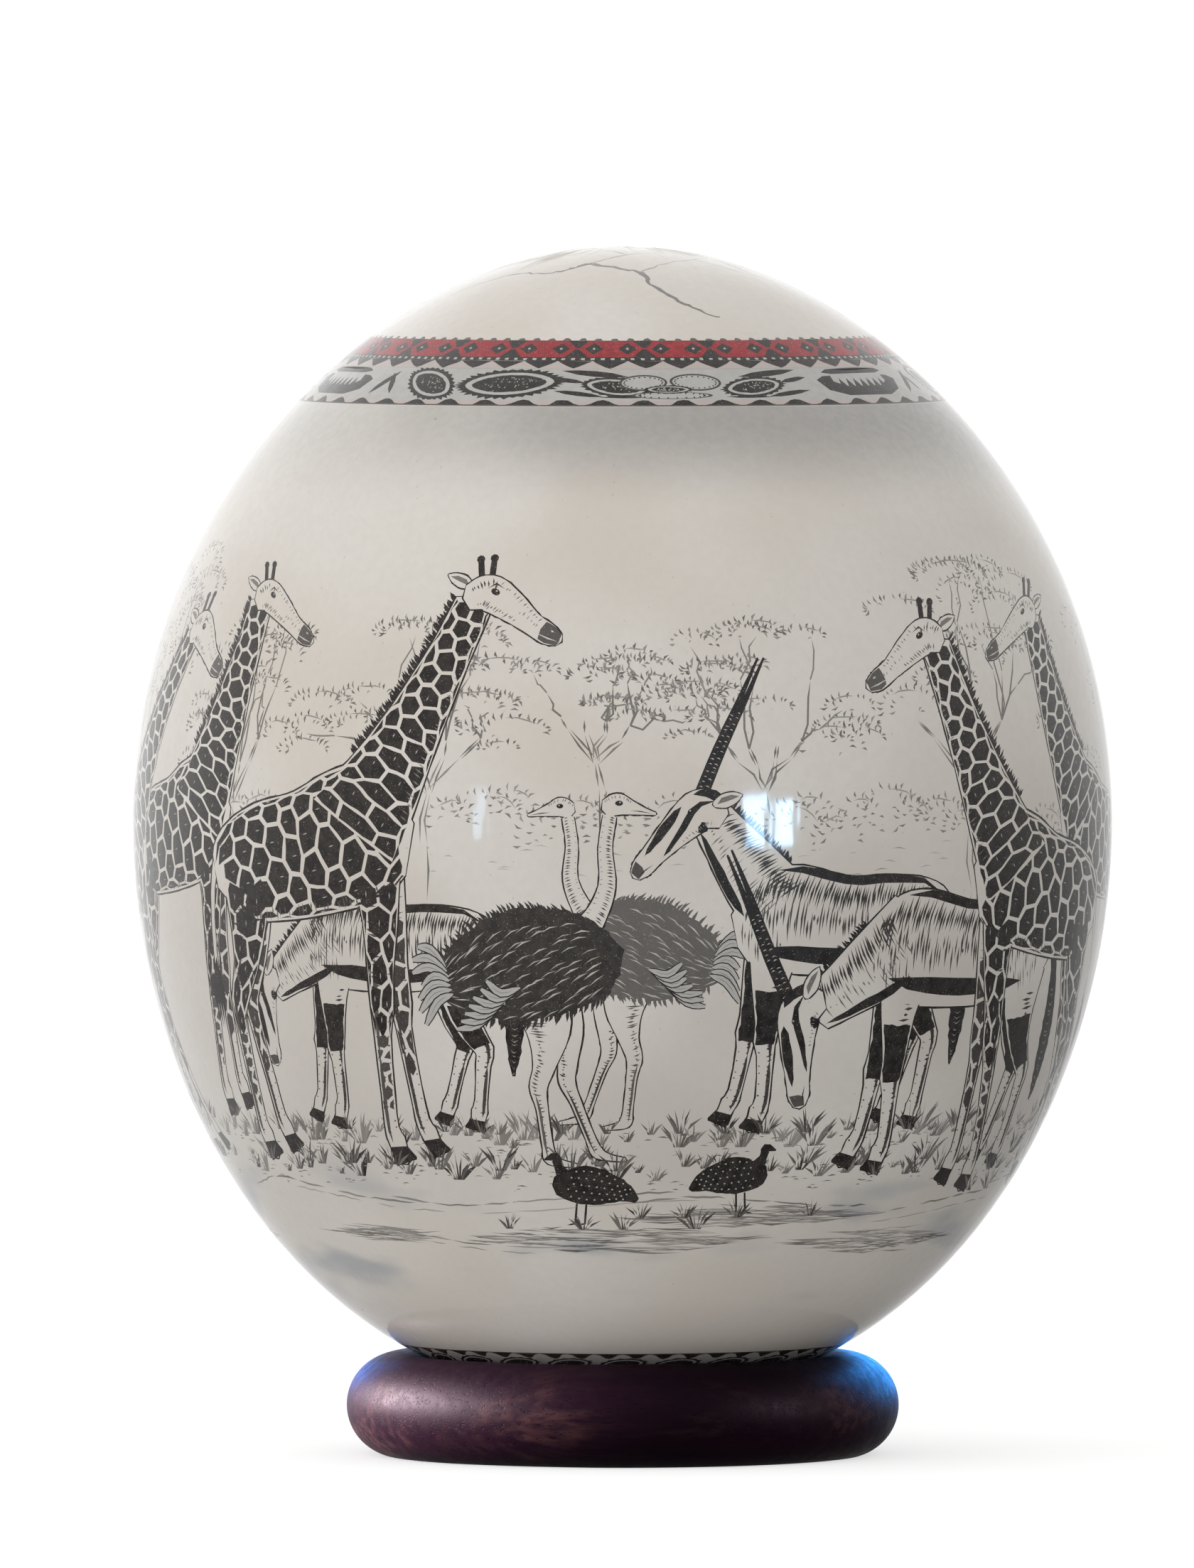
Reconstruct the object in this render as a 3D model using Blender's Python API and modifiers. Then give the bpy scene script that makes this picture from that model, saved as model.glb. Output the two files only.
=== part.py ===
"""A decorated ostrich egg resting in a turned wooden ring stand.

Two pieces: the egg, one solid of revolution, and the ring, a round-section torus
cut flat underneath. Metres, +Z up, origin at the centre of the ring's flat foot.
"""

import math

import bpy

# The egg. Its outline is an ellipse whose radius is weighted by a cubic along the axis.
EGG_LENGTH = 0.1544
EGG_RADIUS = 0.06525
EGG_TAPER = 0.0047
EGG_FULLNESS = -0.0127
EGG_SHOULDER = -0.0577

# The ring stand. Its tube's centre sits lower than its radius, which leaves the flat foot.
RING_TUBE_RADIUS = 0.00695
RING_CENTRE_RADIUS = 0.0299
RING_TUBE_CENTRE_HEIGHT = 0.0066

# The faceted solids keep this much space where the egg bears on the ring.
SEAT_GAP = 0.0003

TURN_STEPS = 64
EGG_ROWS = 36
RING_ROWS = 24
MERGE_DISTANCE = 0.00001

EGG_COLOUR = (0.72, 0.69, 0.63, 1.0)
RING_COLOUR = (0.035, 0.012, 0.014, 1.0)


def clear_scene():
    for obj in list(bpy.data.objects):
        bpy.data.objects.remove(obj, do_unlink=True)


def make_material(name, colour, roughness):
    material = bpy.data.materials.new(name)
    material.use_nodes = True
    shader = material.node_tree.nodes["Principled BSDF"]
    shader.inputs["Base Color"].default_value = colour
    shader.inputs["Roughness"].default_value = roughness
    shader.inputs["Metallic"].default_value = 0.0
    return material


def egg_outline(bottom_height, rows):
    """Radius and height down the egg's outer side, from the top pole to the bottom pole."""
    half_length = EGG_LENGTH / 2
    points = []
    for row in range(rows + 1):
        angle = math.pi / 2 - math.pi * row / rows
        along = math.sin(angle)
        weight = 1 + EGG_TAPER * along + EGG_FULLNESS * along**2 + EGG_SHOULDER * along**3
        radius = EGG_RADIUS * abs(math.cos(angle)) * weight
        points.append((radius, bottom_height + half_length * (1 + along)))
    points[0] = (0.0, points[0][1])
    points[-1] = (0.0, points[-1][1])
    return points


def ring_outline(rows):
    """Radius and height round the tube, from the inner edge of the foot over the crown to its outer edge."""
    foot_angle = math.asin(RING_TUBE_CENTRE_HEIGHT / RING_TUBE_RADIUS)
    sweep = math.pi + 2 * foot_angle
    points = []
    for row in range(rows + 1):
        angle = math.pi + foot_angle - sweep * row / rows
        radius = RING_CENTRE_RADIUS + RING_TUBE_RADIUS * math.cos(angle)
        points.append((radius, RING_TUBE_CENTRE_HEIGHT + RING_TUBE_RADIUS * math.sin(angle)))
    return points


def seated_bottom_height():
    """Lowers the egg until its side is SEAT_GAP from the ring's tube, and returns its bottom's height."""
    fine_rows = 2000
    least_distance = RING_TUBE_RADIUS + SEAT_GAP
    low, high = 0.0, RING_CENTRE_RADIUS
    for _ in range(40):
        middle = (low + high) / 2
        distance = min(
            math.hypot(radius - RING_CENTRE_RADIUS, height - RING_TUBE_CENTRE_HEIGHT)
            for radius, height in egg_outline(middle, fine_rows)
        )
        if distance > least_distance:
            high = middle
        else:
            low = middle
    return high


def turned_solid(name, outline, closed, material, collection):
    """A solid of revolution about Z: the outline as a mesh of edges, with a Screw modifier."""
    mesh = bpy.data.meshes.new(name)
    points = [(radius, 0.0, height) for radius, height in outline]
    edges = [(index, index + 1) for index in range(len(points) - 1)]
    if closed:
        edges.append((len(points) - 1, 0))
    mesh.from_pydata(points, edges, [])
    obj = bpy.data.objects.new(name, mesh)
    collection.objects.link(obj)
    obj.data.materials.append(material)
    screw = obj.modifiers.new("Turn", "SCREW")
    screw.axis = "Z"
    screw.steps = TURN_STEPS
    screw.render_steps = TURN_STEPS
    screw.use_merge_vertices = True
    screw.merge_threshold = MERGE_DISTANCE
    screw.use_smooth_shade = True
    return obj


def build():
    clear_scene()
    collection = bpy.data.collections.new("decorated_ostrich_egg")
    bpy.context.scene.collection.children.link(collection)
    shell = make_material("lacquered_shell", EGG_COLOUR, 0.2)
    wood = make_material("dark_stained_wood", RING_COLOUR, 0.3)
    turned_solid("egg", egg_outline(seated_bottom_height(), EGG_ROWS), False, shell, collection)
    turned_solid("ring_stand", ring_outline(RING_ROWS), True, wood, collection)


build()
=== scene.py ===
"""Looks of the decorated ostrich egg on its turned ring stand.

The print is drawn on a flat sheet that unrolls the egg: across is azimuth times the egg's
widest radius, from -Y round to +X, and up is the distance along the shell from the lower
pole. Lengths in the drawing are millimetres; the objects are in metres.
"""

import copy
import math
import random

import bmesh
import bpy
import numpy as np
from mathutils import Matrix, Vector
from mathutils.geometry import delaunay_2d_cdt


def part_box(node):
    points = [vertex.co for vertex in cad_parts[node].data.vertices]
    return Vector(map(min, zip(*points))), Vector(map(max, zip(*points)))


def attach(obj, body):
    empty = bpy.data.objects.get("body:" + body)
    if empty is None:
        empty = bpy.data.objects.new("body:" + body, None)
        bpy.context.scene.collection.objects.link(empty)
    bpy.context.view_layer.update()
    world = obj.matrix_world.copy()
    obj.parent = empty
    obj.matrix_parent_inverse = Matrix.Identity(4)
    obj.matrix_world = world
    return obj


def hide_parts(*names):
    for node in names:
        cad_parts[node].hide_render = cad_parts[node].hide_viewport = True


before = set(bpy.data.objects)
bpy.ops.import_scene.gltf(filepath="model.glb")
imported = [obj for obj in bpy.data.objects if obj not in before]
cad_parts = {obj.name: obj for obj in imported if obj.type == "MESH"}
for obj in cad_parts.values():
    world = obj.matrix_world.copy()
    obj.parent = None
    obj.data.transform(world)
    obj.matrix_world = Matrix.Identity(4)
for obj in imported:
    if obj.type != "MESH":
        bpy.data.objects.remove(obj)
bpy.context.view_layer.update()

MM = 0.001
TURN = 2 * math.pi

# The egg's outline, as in the CAD model.
EGG_LENGTH = 154.4
EGG_RADIUS = 65.25
EGG_TAPER = 0.0047
EGG_FULLNESS = -0.0127
EGG_SHOULDER = -0.0577
EGG_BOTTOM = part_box("egg")[0][2] / MM
MERIDIAN_STEPS = 4000

# The unrolled sheet.
SHEET_HALF = math.pi * EGG_RADIUS
POLE_MARGIN = 1.2
GRID_STEP = 3.0
CUT_TOLERANCE = 0.0002
APART = 0.8
CLOSE = 0.05
STRAIGHT = 0.02
LONGEST = 4.5

# First seeds of the drawing's random numbers. Each group of drawings counts up from its own.
CAP_SEED = 5
BORDER_SEED = 40
BUSH_SEED = 100
TREE_SEED = 200
ANIMAL_SEED = 300
FAR_MEADOW_SEED = 500
NEAR_MEADOW_SEED = 520
BANK_SEED = 540
POOL_SEED = 560

# Inks: amounts of dark ink, red ink and white ground.
BARE = (0.0, 0.0, 0.0)
INK = (1.0, 0.0, 0.0)
WHITE = (0.0, 0.0, 1.0)
RED = (0.0, 1.0, 0.0)
PINK = (0.0, 0.16, 0.7)


def grey(amount):
    return (amount, 0.0, 0.0)


# The egg's surface


def meridian():
    """Radius, height and distance along the shell, at fine steps from the lower pole to the upper."""
    angle = np.linspace(-math.pi / 2, math.pi / 2, MERIDIAN_STEPS + 1)
    along = np.sin(angle)
    weight = 1 + EGG_TAPER * along + EGG_FULLNESS * along**2 + EGG_SHOULDER * along**3
    radius = EGG_RADIUS * np.abs(np.cos(angle)) * weight
    height = EGG_BOTTOM + EGG_LENGTH / 2 * (1 + along)
    steps = np.hypot(np.diff(radius), np.diff(height))
    distance = np.concatenate([[0.0], np.cumsum(steps)])
    return radius, height, distance


RADII, HEIGHTS, DISTANCES = meridian()
SHELL_END = DISTANCES[-1]
SLOPES = np.gradient(RADII, DISTANCES)


def up_at(height):
    """Distance along the shell at a height above the floor."""
    return float(np.interp(height, HEIGHTS, DISTANCES))


def radius_at(up):
    return np.interp(up, DISTANCES, RADII)


def on_egg(across, up):
    """Points and normals on the egg, in metres, for points of the sheet."""
    azimuth = across / EGG_RADIUS
    radius = radius_at(up)
    height = np.interp(up, DISTANCES, HEIGHTS)
    slope = np.interp(up, DISTANCES, SLOPES)
    rise = np.sqrt(np.maximum(0.0, 1 - slope**2))
    sine, cosine = np.sin(azimuth), np.cos(azimuth)
    points = np.stack([radius * sine, -radius * cosine, height], axis=1) * MM
    normals = np.stack([rise * sine, -rise * cosine, -slope], axis=1)
    return points, normals


# The sheet: closed outlines laid over each other in painting order


class Sheet:
    def __init__(self):
        self.shapes = []

    def paint(self, points, tone):
        """Lays an outline over the earlier ones, again on the far side where it passes the seam."""
        points = np.array(points, dtype=float)
        self.shapes.append((points, tone))
        if points[:, 0].min() < -SHEET_HALF - 1e-6:
            self.shapes.append((points + (2 * SHEET_HALF, 0), tone))
        if points[:, 0].max() > SHEET_HALF + 1e-6:
            self.shapes.append((points - (2 * SHEET_HALF, 0), tone))


def inside(points, outline):
    """Which points lie inside the outline, by winding number."""
    x, y = points[:, 0], points[:, 1]
    winding = np.zeros(len(points), dtype=int)
    for (ax, ay), (bx, by) in zip(outline, np.roll(outline, -1, axis=0)):
        if ay == by:
            continue
        side = (bx - ax) * (y - ay) - (x - ax) * (by - ay)
        winding += ((ay <= y) & (by > y) & (side > 0)).astype(int)
        winding -= ((ay > y) & (by <= y) & (side < 0)).astype(int)
    return winding != 0


def base_points():
    """Points that carry the shell's curve where nothing is drawn."""
    points = []
    rows = round((SHELL_END - 2 * POLE_MARGIN) / GRID_STEP)
    for row in range(rows + 1):
        up = POLE_MARGIN + (SHELL_END - 2 * POLE_MARGIN) * row / rows
        columns = max(24, round(TURN * radius_at(up) / GRID_STEP))
        for column in range(columns + 1):
            points.append((-SHEET_HALF + 2 * SHEET_HALF * column / columns, up))
    return points


def triangulate(points, lines):
    """Triangles of the whole sheet that follow the lines, which are pairs of point numbers."""
    points, lines = list(points), list(lines)
    for side in (-SHEET_HALF, SHEET_HALF):
        lines.append((len(points), len(points) + 1))
        points += [(side, POLE_MARGIN), (side, SHELL_END - POLE_MARGIN)]
    cut = delaunay_2d_cdt([Vector(point) for point in points], lines, [], 0, CUT_TOLERANCE, False)
    points = np.array([(point.x, point.y) for point in cut[0]])
    triangles = np.array(cut[2])
    on_sheet = np.abs(points[triangles].mean(axis=1)[:, 0]) < SHEET_HALF
    return points, triangles[on_sheet]


def topmost(points, triangles, shapes):
    """The number of the last painted outline over each triangle, or -1."""
    centres = points[triangles].mean(axis=1)
    order = np.argsort(centres[:, 0])
    sorted_across = centres[order, 0]
    owner = np.full(len(triangles), -1)
    for number, (outline, _) in enumerate(shapes):
        low, high = outline.min(axis=0), outline.max(axis=0)
        first, last = np.searchsorted(sorted_across, (low[0], high[0]))
        near = order[first:last]
        heights = centres[near, 1]
        near = near[(heights >= low[1]) & (heights <= high[1])]
        owner[near[inside(centres[near], outline)]] = number
    return owner


def tone_edges(triangles, tones):
    """Edges with a different tone on each side."""
    edges = np.sort(triangles[:, [0, 1, 1, 2, 2, 0]].reshape(-1, 2), axis=1)
    faces = np.repeat(np.arange(len(triangles)), 3)
    order = np.lexsort((edges[:, 1], edges[:, 0]))
    edges, faces = edges[order], faces[order]
    shared = np.where((edges[1:] == edges[:-1]).all(axis=1))[0]
    differ = (tones[faces[shared]] != tones[faces[shared + 1]]).any(axis=1)
    return edges[shared[differ]]


def on_seam(x):
    return abs(x) > SHEET_HALF - 1e-3


def simpler(points, edges):
    """The same lines without corners that lie close together or straight between their neighbours."""
    around = {}
    for first, second in edges.tolist():
        around.setdefault(first, set()).add(second)
        around.setdefault(second, set()).add(first)
    x, y = points[:, 0].tolist(), points[:, 1].tolist()

    def leave_out(corner, keep):
        """Takes a corner away and joins its other neighbours to the one that is kept."""
        for other in around.pop(corner):
            around[other].discard(corner)
            if other != keep:
                around[other].add(keep)
                around[keep].add(other)

    for corner in sorted(around):
        if corner not in around or on_seam(x[corner]):
            continue
        for other in sorted(around[corner]):
            gap = math.hypot(x[other] - x[corner], y[other] - y[corner])
            if gap < CLOSE and not on_seam(x[other]):
                leave_out(other, corner)
                break
    for corner in sorted(around):
        neighbours = around[corner]
        if len(neighbours) != 2 or on_seam(x[corner]):
            continue
        first, second = sorted(neighbours)
        run, climb = x[second] - x[first], y[second] - y[first]
        long = math.hypot(run, climb)
        turned = run * (y[corner] - y[first]) - climb * (x[corner] - x[first])
        if second not in around[first] and abs(turned) < STRAIGHT * long and long < LONGEST:
            leave_out(corner, first)
    lines = []
    for first in sorted(around):
        lines.extend((first, second) for second in sorted(around[first]) if first < second)
    return np.array(lines)


def apart_from(spots, others, reach):
    """The spots with none of the others in their own cell or the cells round it."""
    taken = set(map(tuple, np.floor(np.asarray(others) / reach).astype(int)))
    kept = []
    for x, y in spots:
        cell_x, cell_y = math.floor(x / reach), math.floor(y / reach)
        near = ((cell_x + dx, cell_y + dy) for dx in (-1, 0, 1) for dy in (-1, 0, 1))
        edge = on_seam(x) or not POLE_MARGIN + 1e-3 < y < SHELL_END - POLE_MARGIN - 1e-3
        if edge or not any(cell in taken for cell in near):
            kept.append((x, y))
    return kept


def cut_sheet(sheet):
    """Triangles of the sheet with their tones, cut first along all outlines, then where tones differ."""
    spots = base_points()
    corners, lines = list(spots), []
    for outline, _ in sheet.shapes:
        start, count = len(corners), len(outline)
        corners.extend(outline.tolist())
        lines.extend((start + index, start + (index + 1) % count) for index in range(count))
    points, triangles = triangulate(corners, lines)
    palette = np.array([*(tone for _, tone in sheet.shapes), BARE])
    owner = topmost(points, triangles, sheet.shapes)
    edges = simpler(points, tone_edges(triangles, palette[owner]))
    used, edges = np.unique(edges, return_inverse=True)
    visible = [sheet.shapes[number] for number in np.unique(owner) if number >= 0]

    corners = [*points[used].tolist(), *apart_from(spots, points[used], APART)]
    points, triangles = triangulate(corners, edges.reshape(-1, 2).tolist())
    palette = np.array([*(tone for _, tone in visible), BARE])
    return points, triangles, palette[topmost(points, triangles, visible)]


def close_seam(points, triangles):
    """Joins the sheet's two side edges, and gives the triangles' new corner numbers."""
    left = np.where(points[:, 0] < -SHEET_HALF + 1e-3)[0]
    right = np.where(points[:, 0] > SHEET_HALF - 1e-3)[0]
    new_number = np.arange(len(points))
    for index in right:
        gaps = np.abs(points[left, 1] - points[index, 1])
        nearest = int(np.argmin(gaps))
        if gaps[nearest] < 1e-2:
            new_number[index] = left[nearest]
    return new_number[triangles]


def pole_fan(points, up, pole_index, upwards):
    """Triangles that close the shell from its row at this distance to the pole."""
    rim = np.where(np.abs(points[:, 1] - up) < 1e-3)[0]
    rim = rim[points[rim, 0] < SHEET_HALF - 1e-3]
    rim = rim[np.argsort(points[rim, 0])]
    fan = []
    for first, second in zip(rim, np.roll(rim, -1)):
        if upwards:
            fan.append((first, second, pole_index))
        else:
            fan.append((second, first, pole_index))
    return fan


def add_object(name, data):
    made = bpy.data.objects.new(name, data)
    bpy.context.scene.collection.objects.link(made)
    return made


def printed_egg(sheet):
    points, triangles, tones = cut_sheet(sheet)
    triangles = close_seam(points, triangles)
    places, normals = on_egg(points[:, 0], points[:, 1])
    lower_pole, upper_pole = len(points), len(points) + 1
    poles = [(0, 0, EGG_BOTTOM * MM), (0, 0, (EGG_BOTTOM + EGG_LENGTH) * MM)]
    places = np.concatenate([places, poles])
    normals = np.concatenate([normals, [(0, 0, -1), (0, 0, 1)]])
    fans = pole_fan(points, POLE_MARGIN, lower_pole, False)
    fans += pole_fan(points, SHELL_END - POLE_MARGIN, upper_pole, True)
    triangles = np.concatenate([triangles, fans])
    tones = np.concatenate([tones, np.zeros((len(fans), 3))])

    used = np.unique(triangles)
    new_number = np.full(len(places), -1)
    new_number[used] = np.arange(len(used))
    triangles = new_number[triangles]
    places, normals = places[used], normals[used]

    mesh = bpy.data.meshes.new("printed_egg")
    mesh.from_pydata(places.tolist(), [], triangles.tolist())
    colours = np.ones((len(triangles), 4))
    colours[:, :3] = tones
    # One value for each corner of a triangle keeps the print's edges sharp.
    attribute = mesh.color_attributes.new("print", "FLOAT_COLOR", "CORNER")
    attribute.data.foreach_set("color", np.repeat(colours, 3, axis=0).ravel())
    mesh.shade_smooth()
    mesh.normals_split_custom_set_from_vertices(normals.tolist())
    return add_object("printed_egg", mesh)


# Drawing tools


def smooth_rows(rows, per_span):
    """A smooth curve through rows of numbers, as closely spaced rows."""
    rows = np.array(rows, dtype=float)
    padded = np.concatenate([[2 * rows[0] - rows[1]], rows, [2 * rows[-1] - rows[-2]]])
    curve = []
    for index in range(1, len(rows)):
        before, first, second, after = padded[index - 1 : index + 3]
        for step in range(per_span):
            t = step / per_span
            bend = 2 * before - 5 * first + 4 * second - after
            twist = 3 * first - before - 3 * second + after
            curve.append(first + 0.5 * (t * (second - before) + t**2 * bend + t**3 * twist))
    curve.append(rows[-1])
    return np.array(curve)


def directions(points):
    ahead = np.gradient(points, axis=0)
    return ahead / np.maximum(1e-9, np.hypot(ahead[:, 0], ahead[:, 1]))[:, None]


def to_the_left(ahead):
    return np.stack([-ahead[:, 1], ahead[:, 0]], axis=1)


class Form:
    """A drawn form round a spine, whose rows are x, y and the widths to its left and right."""

    def __init__(self, rows, per_span=3):
        curve = smooth_rows(rows, per_span)
        self.centre = curve[:, :2]
        self.left, self.right = curve[:, 2], curve[:, 3]
        self.ahead = directions(self.centre)
        self.side = to_the_left(self.ahead)
        steps = np.hypot(*np.diff(self.centre, axis=0).T)
        self.marks = np.concatenate([[0.0], np.cumsum(steps)])
        self.length = self.marks[-1]

    def at(self, along, across):
        """Points at shares of the length and of the width, from -1 at the right to 1 at the left."""
        mark = np.asarray(along) * self.length
        across = np.asarray(across, dtype=float)
        read = [np.interp(mark, self.marks, values) for values in (*self.centre.T, *self.side.T)]
        left = np.interp(mark, self.marks, self.left)
        right = np.interp(mark, self.marks, self.right)
        offset = across * np.where(across > 0, left, right)
        return np.stack([read[0] + offset * read[2], read[1] + offset * read[3]], axis=-1)

    def outline(self, grow=0.0):
        left = self.centre + self.side * (self.left + grow)[:, None]
        right = self.centre - self.side * (self.right + grow)[:, None]
        start = self.centre[0] - self.ahead[0] * (grow + 0.4 * self.left[0])
        end = self.centre[-1] + self.ahead[-1] * (grow + 0.4 * self.left[-1])
        return np.concatenate([left, [end], right[::-1], [start]])


class Pen:
    """Draws in millimetres from a foot point on the egg, true to size across at every height.

    Towards the narrow lower end a figure is also leant, so it stands upright for a viewer at -Y.
    """

    def __init__(self, sheet, azimuth, foot, scale=1.0, facing=1, seed=0, lean=0.0):
        self.sheet = sheet
        self.azimuth = math.radians(azimuth)
        self.foot = foot
        self.scale = scale
        self.facing = facing
        self.lean = lean
        self.turns = []
        self.random = random.Random(seed)

    def turned(self, x, y, degrees):
        """The same pen with everything turned about a point."""
        pen = copy.copy(self)
        pen.turns = [(np.array([x, y]), math.radians(degrees)), *self.turns]
        return pen

    def to_sheet(self, points):
        points = np.asarray(points, dtype=float)
        for pivot, angle in self.turns:
            x, y = (points - pivot).T
            cosine, sine = math.cos(angle), math.sin(angle)
            points = pivot + np.stack([x * cosine - y * sine, x * sine + y * cosine], axis=1)
        up = self.foot + points[:, 1] * self.scale
        radius = radius_at(up)
        azimuth = self.azimuth + points[:, 0] * self.scale * self.facing / radius
        azimuth += self.lean * math.tan(self.azimuth) * (EGG_RADIUS / radius - 1)
        return np.stack([azimuth * EGG_RADIUS, up], axis=1)

    def paint(self, points, tone):
        self.sheet.paint(self.to_sheet(points), tone)

    def vary(self, low, high):
        return self.random.uniform(low, high)

    def shaken(self, points, amount):
        moves = [(self.vary(-amount, amount), self.vary(-amount, amount)) for _ in points]
        return np.asarray(points, dtype=float) + moves

    def rough(self, points, step, amount):
        """Paint-ready outline with extra corners, each moved a little."""
        points = np.asarray(points, dtype=float)
        corners = []
        for first, second in zip(points, np.roll(points, -1, axis=0)):
            pieces = max(1, round(float(np.hypot(*(second - first))) / step))
            corners.extend(first + (second - first) * piece / pieces for piece in range(pieces))
        return self.shaken(corners, amount)

    def stroke(self, points, width, tone, taper=(0.0, 0.0)):
        """A line through points, widest in the middle. Its ends have these shares of the width."""
        points = np.asarray(points, dtype=float)
        count = len(points)
        if count == 2:
            points = np.array([points[0], (points[0] + points[1]) / 2, points[1]])
            count = 3
        share = np.linspace(0, 1, count)
        floor = taper[0] * (1 - share) + taper[1] * share
        swell = floor + (1 - floor) * np.sin(math.pi * share) ** 0.6
        offset = to_the_left(directions(points)) * (swell * width / 2)[:, None]
        left, right = points + offset, points - offset
        first = 0 if taper[0] else 1
        last = count if taper[1] else count - 1
        self.paint(np.concatenate([left, right[first:last][::-1]]), tone)

    def dash(self, x, y, angle, length, width, tone, bend=0.0):
        half = (math.cos(angle) * length / 2, math.sin(angle) * length / 2)
        middle = (x - half[1] * bend, y + half[0] * bend)
        self.stroke([(x - half[0], y - half[1]), middle, (x + half[0], y + half[1])], width, tone)

    def dot(self, x, y, radius, tone, corners=4):
        turn = self.vary(0, 1)
        angles = [TURN * (corner + turn) / corners for corner in range(corners)]
        self.paint([(x + radius * math.cos(a), y + radius * math.sin(a)) for a in angles], tone)


def ellipse(x, y, wide, high, corners=24, tilt=0.0, power=1.0):
    """Corners of an ellipse. A power over 1 makes its ends pointed."""
    cosine, sine = math.cos(tilt), math.sin(tilt)
    points = []
    for corner in range(corners):
        angle = TURN * corner / corners
        across = wide / 2 * math.cos(angle)
        rise = high / 2 * math.copysign(abs(math.sin(angle)) ** power, math.sin(angle))
        points.append((x + across * cosine - rise * sine, y + across * sine + rise * cosine))
    return points


# Bands

# Heights on the sheet of the upper band's parts.
CAP_EDGE = 187.5
DOT_ROW_TOP = 184.0
DOT_ROW_FOOT = 183.25
WEDGE_FOOT = 181.75
BORDER_FOOT = 175.7
MOUND_FOOT = 174.7
# The lower band, of which the ring stand leaves only the top to see.
LOWER_BAND_TOP = 31.6
# Depths below that top where the lower border, stitches and red strip end.
LOWER_BORDER_DEPTH = 6.2
LOWER_STITCH_DEPTH = 7.0
LOWER_RED_DEPTH = 10.4
LOWER_PODS = 24

BAND_PAIRS = 25
BAND_TURN = 0.32
STRIP_STEPS = 100


def band_strip(sheet, low, high, tone):
    """A plain strip all the way round the egg."""
    spots = np.linspace(-SHEET_HALF, SHEET_HALF, STRIP_STEPS + 1)
    sheet.paint([*((spot, low) for spot in spots), *((spot, high) for spot in spots[::-1])], tone)


def band_repeat(sheet, cell_shape, count, low, high, tone, phase=0.0, shake=0.0):
    """Repeats a shape round the egg, drawn in a cell from 0 to 1 across and up."""
    cell = 2 * SHEET_HALF / count
    draw = random.Random(count * 100 + round(low * 10))
    for index in range(count):
        left = -SHEET_HALF + (index + phase) * cell
        points = []
        for x, y in cell_shape:
            rise = y * (high - low) + draw.uniform(-shake, shake)
            points.append((left + x * cell + draw.uniform(-shake, shake), low + rise))
        sheet.paint(points, tone)


def diamond(wide, high):
    return [(0.5 - wide / 2, 0.5), (0.5, 0.5 - high / 2), (0.5 + wide / 2, 0.5), (0.5, 0.5 + high / 2)]


def red_band(sheet, low, high, upwards=1):
    """A red strip of paired black diamonds, with crossed wedges between the pairs."""
    band_strip(sheet, low, high, RED)
    cross = BAND_TURN
    top_wedge = [(0.33, 1.0), (0.67, 1.0), (0.53, 0.54), (0.47, 0.54)]
    foot_wedge = [(0.33, 0.0), (0.47, 0.46), (0.53, 0.46), (0.67, 0.0)]
    band_repeat(sheet, top_wedge, BAND_PAIRS, low, high, INK, cross, 0.06)
    band_repeat(sheet, foot_wedge, BAND_PAIRS, low, high, INK, cross, 0.06)
    for shift in (0.25, 0.75):
        band_repeat(sheet, diamond(0.29, 0.66), BAND_PAIRS, low, high, INK, cross + shift, 0.06)
        band_repeat(sheet, diamond(0.05, 0.15), BAND_PAIRS, low, high, WHITE, cross + shift, 0.03)
    edge = 0.45 * upwards
    edge_low, edge_high = (high - 0.1, high + edge) if upwards > 0 else (low + edge, low + 0.1)
    tooth = [(0.2, 0.0), (0.8, 0.0), (0.62, 1.0), (0.38, 1.0)]
    band_repeat(sheet, tooth, 4 * BAND_PAIRS, edge_low, edge_high, grey(0.85), 0.0, 0.1)


def stitched_row(sheet, low, high):
    """A black line with small white squares."""
    band_strip(sheet, low, high, INK)
    square = [(0.3, 0.25), (0.68, 0.25), (0.68, 0.75), (0.3, 0.75)]
    band_repeat(sheet, square, 7 * BAND_PAIRS, low, high, WHITE, 0.0, 0.06)


def wedge_row(sheet, base, tip, phase):
    """Black wedges that hang from or stand on a line, with pale ones between them."""
    band_strip(sheet, min(base, tip), max(base, tip), PINK)
    wedge = [(0.0, 0.0), (0.12, 0.3), (0.34, 0.75), (0.5, 1.0), (0.66, 0.75), (0.88, 0.3), (1.0, 0.0)]
    band_repeat(sheet, wedge, 2 * BAND_PAIRS, base, tip, INK, phase, 0.08)


def mound_row(sheet, base, tip):
    """Low black mounds along the outer edge of a border."""
    mound = [(0.02, 0.0), (0.2, 0.25), (0.36, 0.8), (0.5, 1.0), (0.64, 0.8), (0.8, 0.25), (0.98, 0.0)]
    band_repeat(sheet, mound, 2 * BAND_PAIRS, base, tip, INK, 0.0, 0.1)


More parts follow.
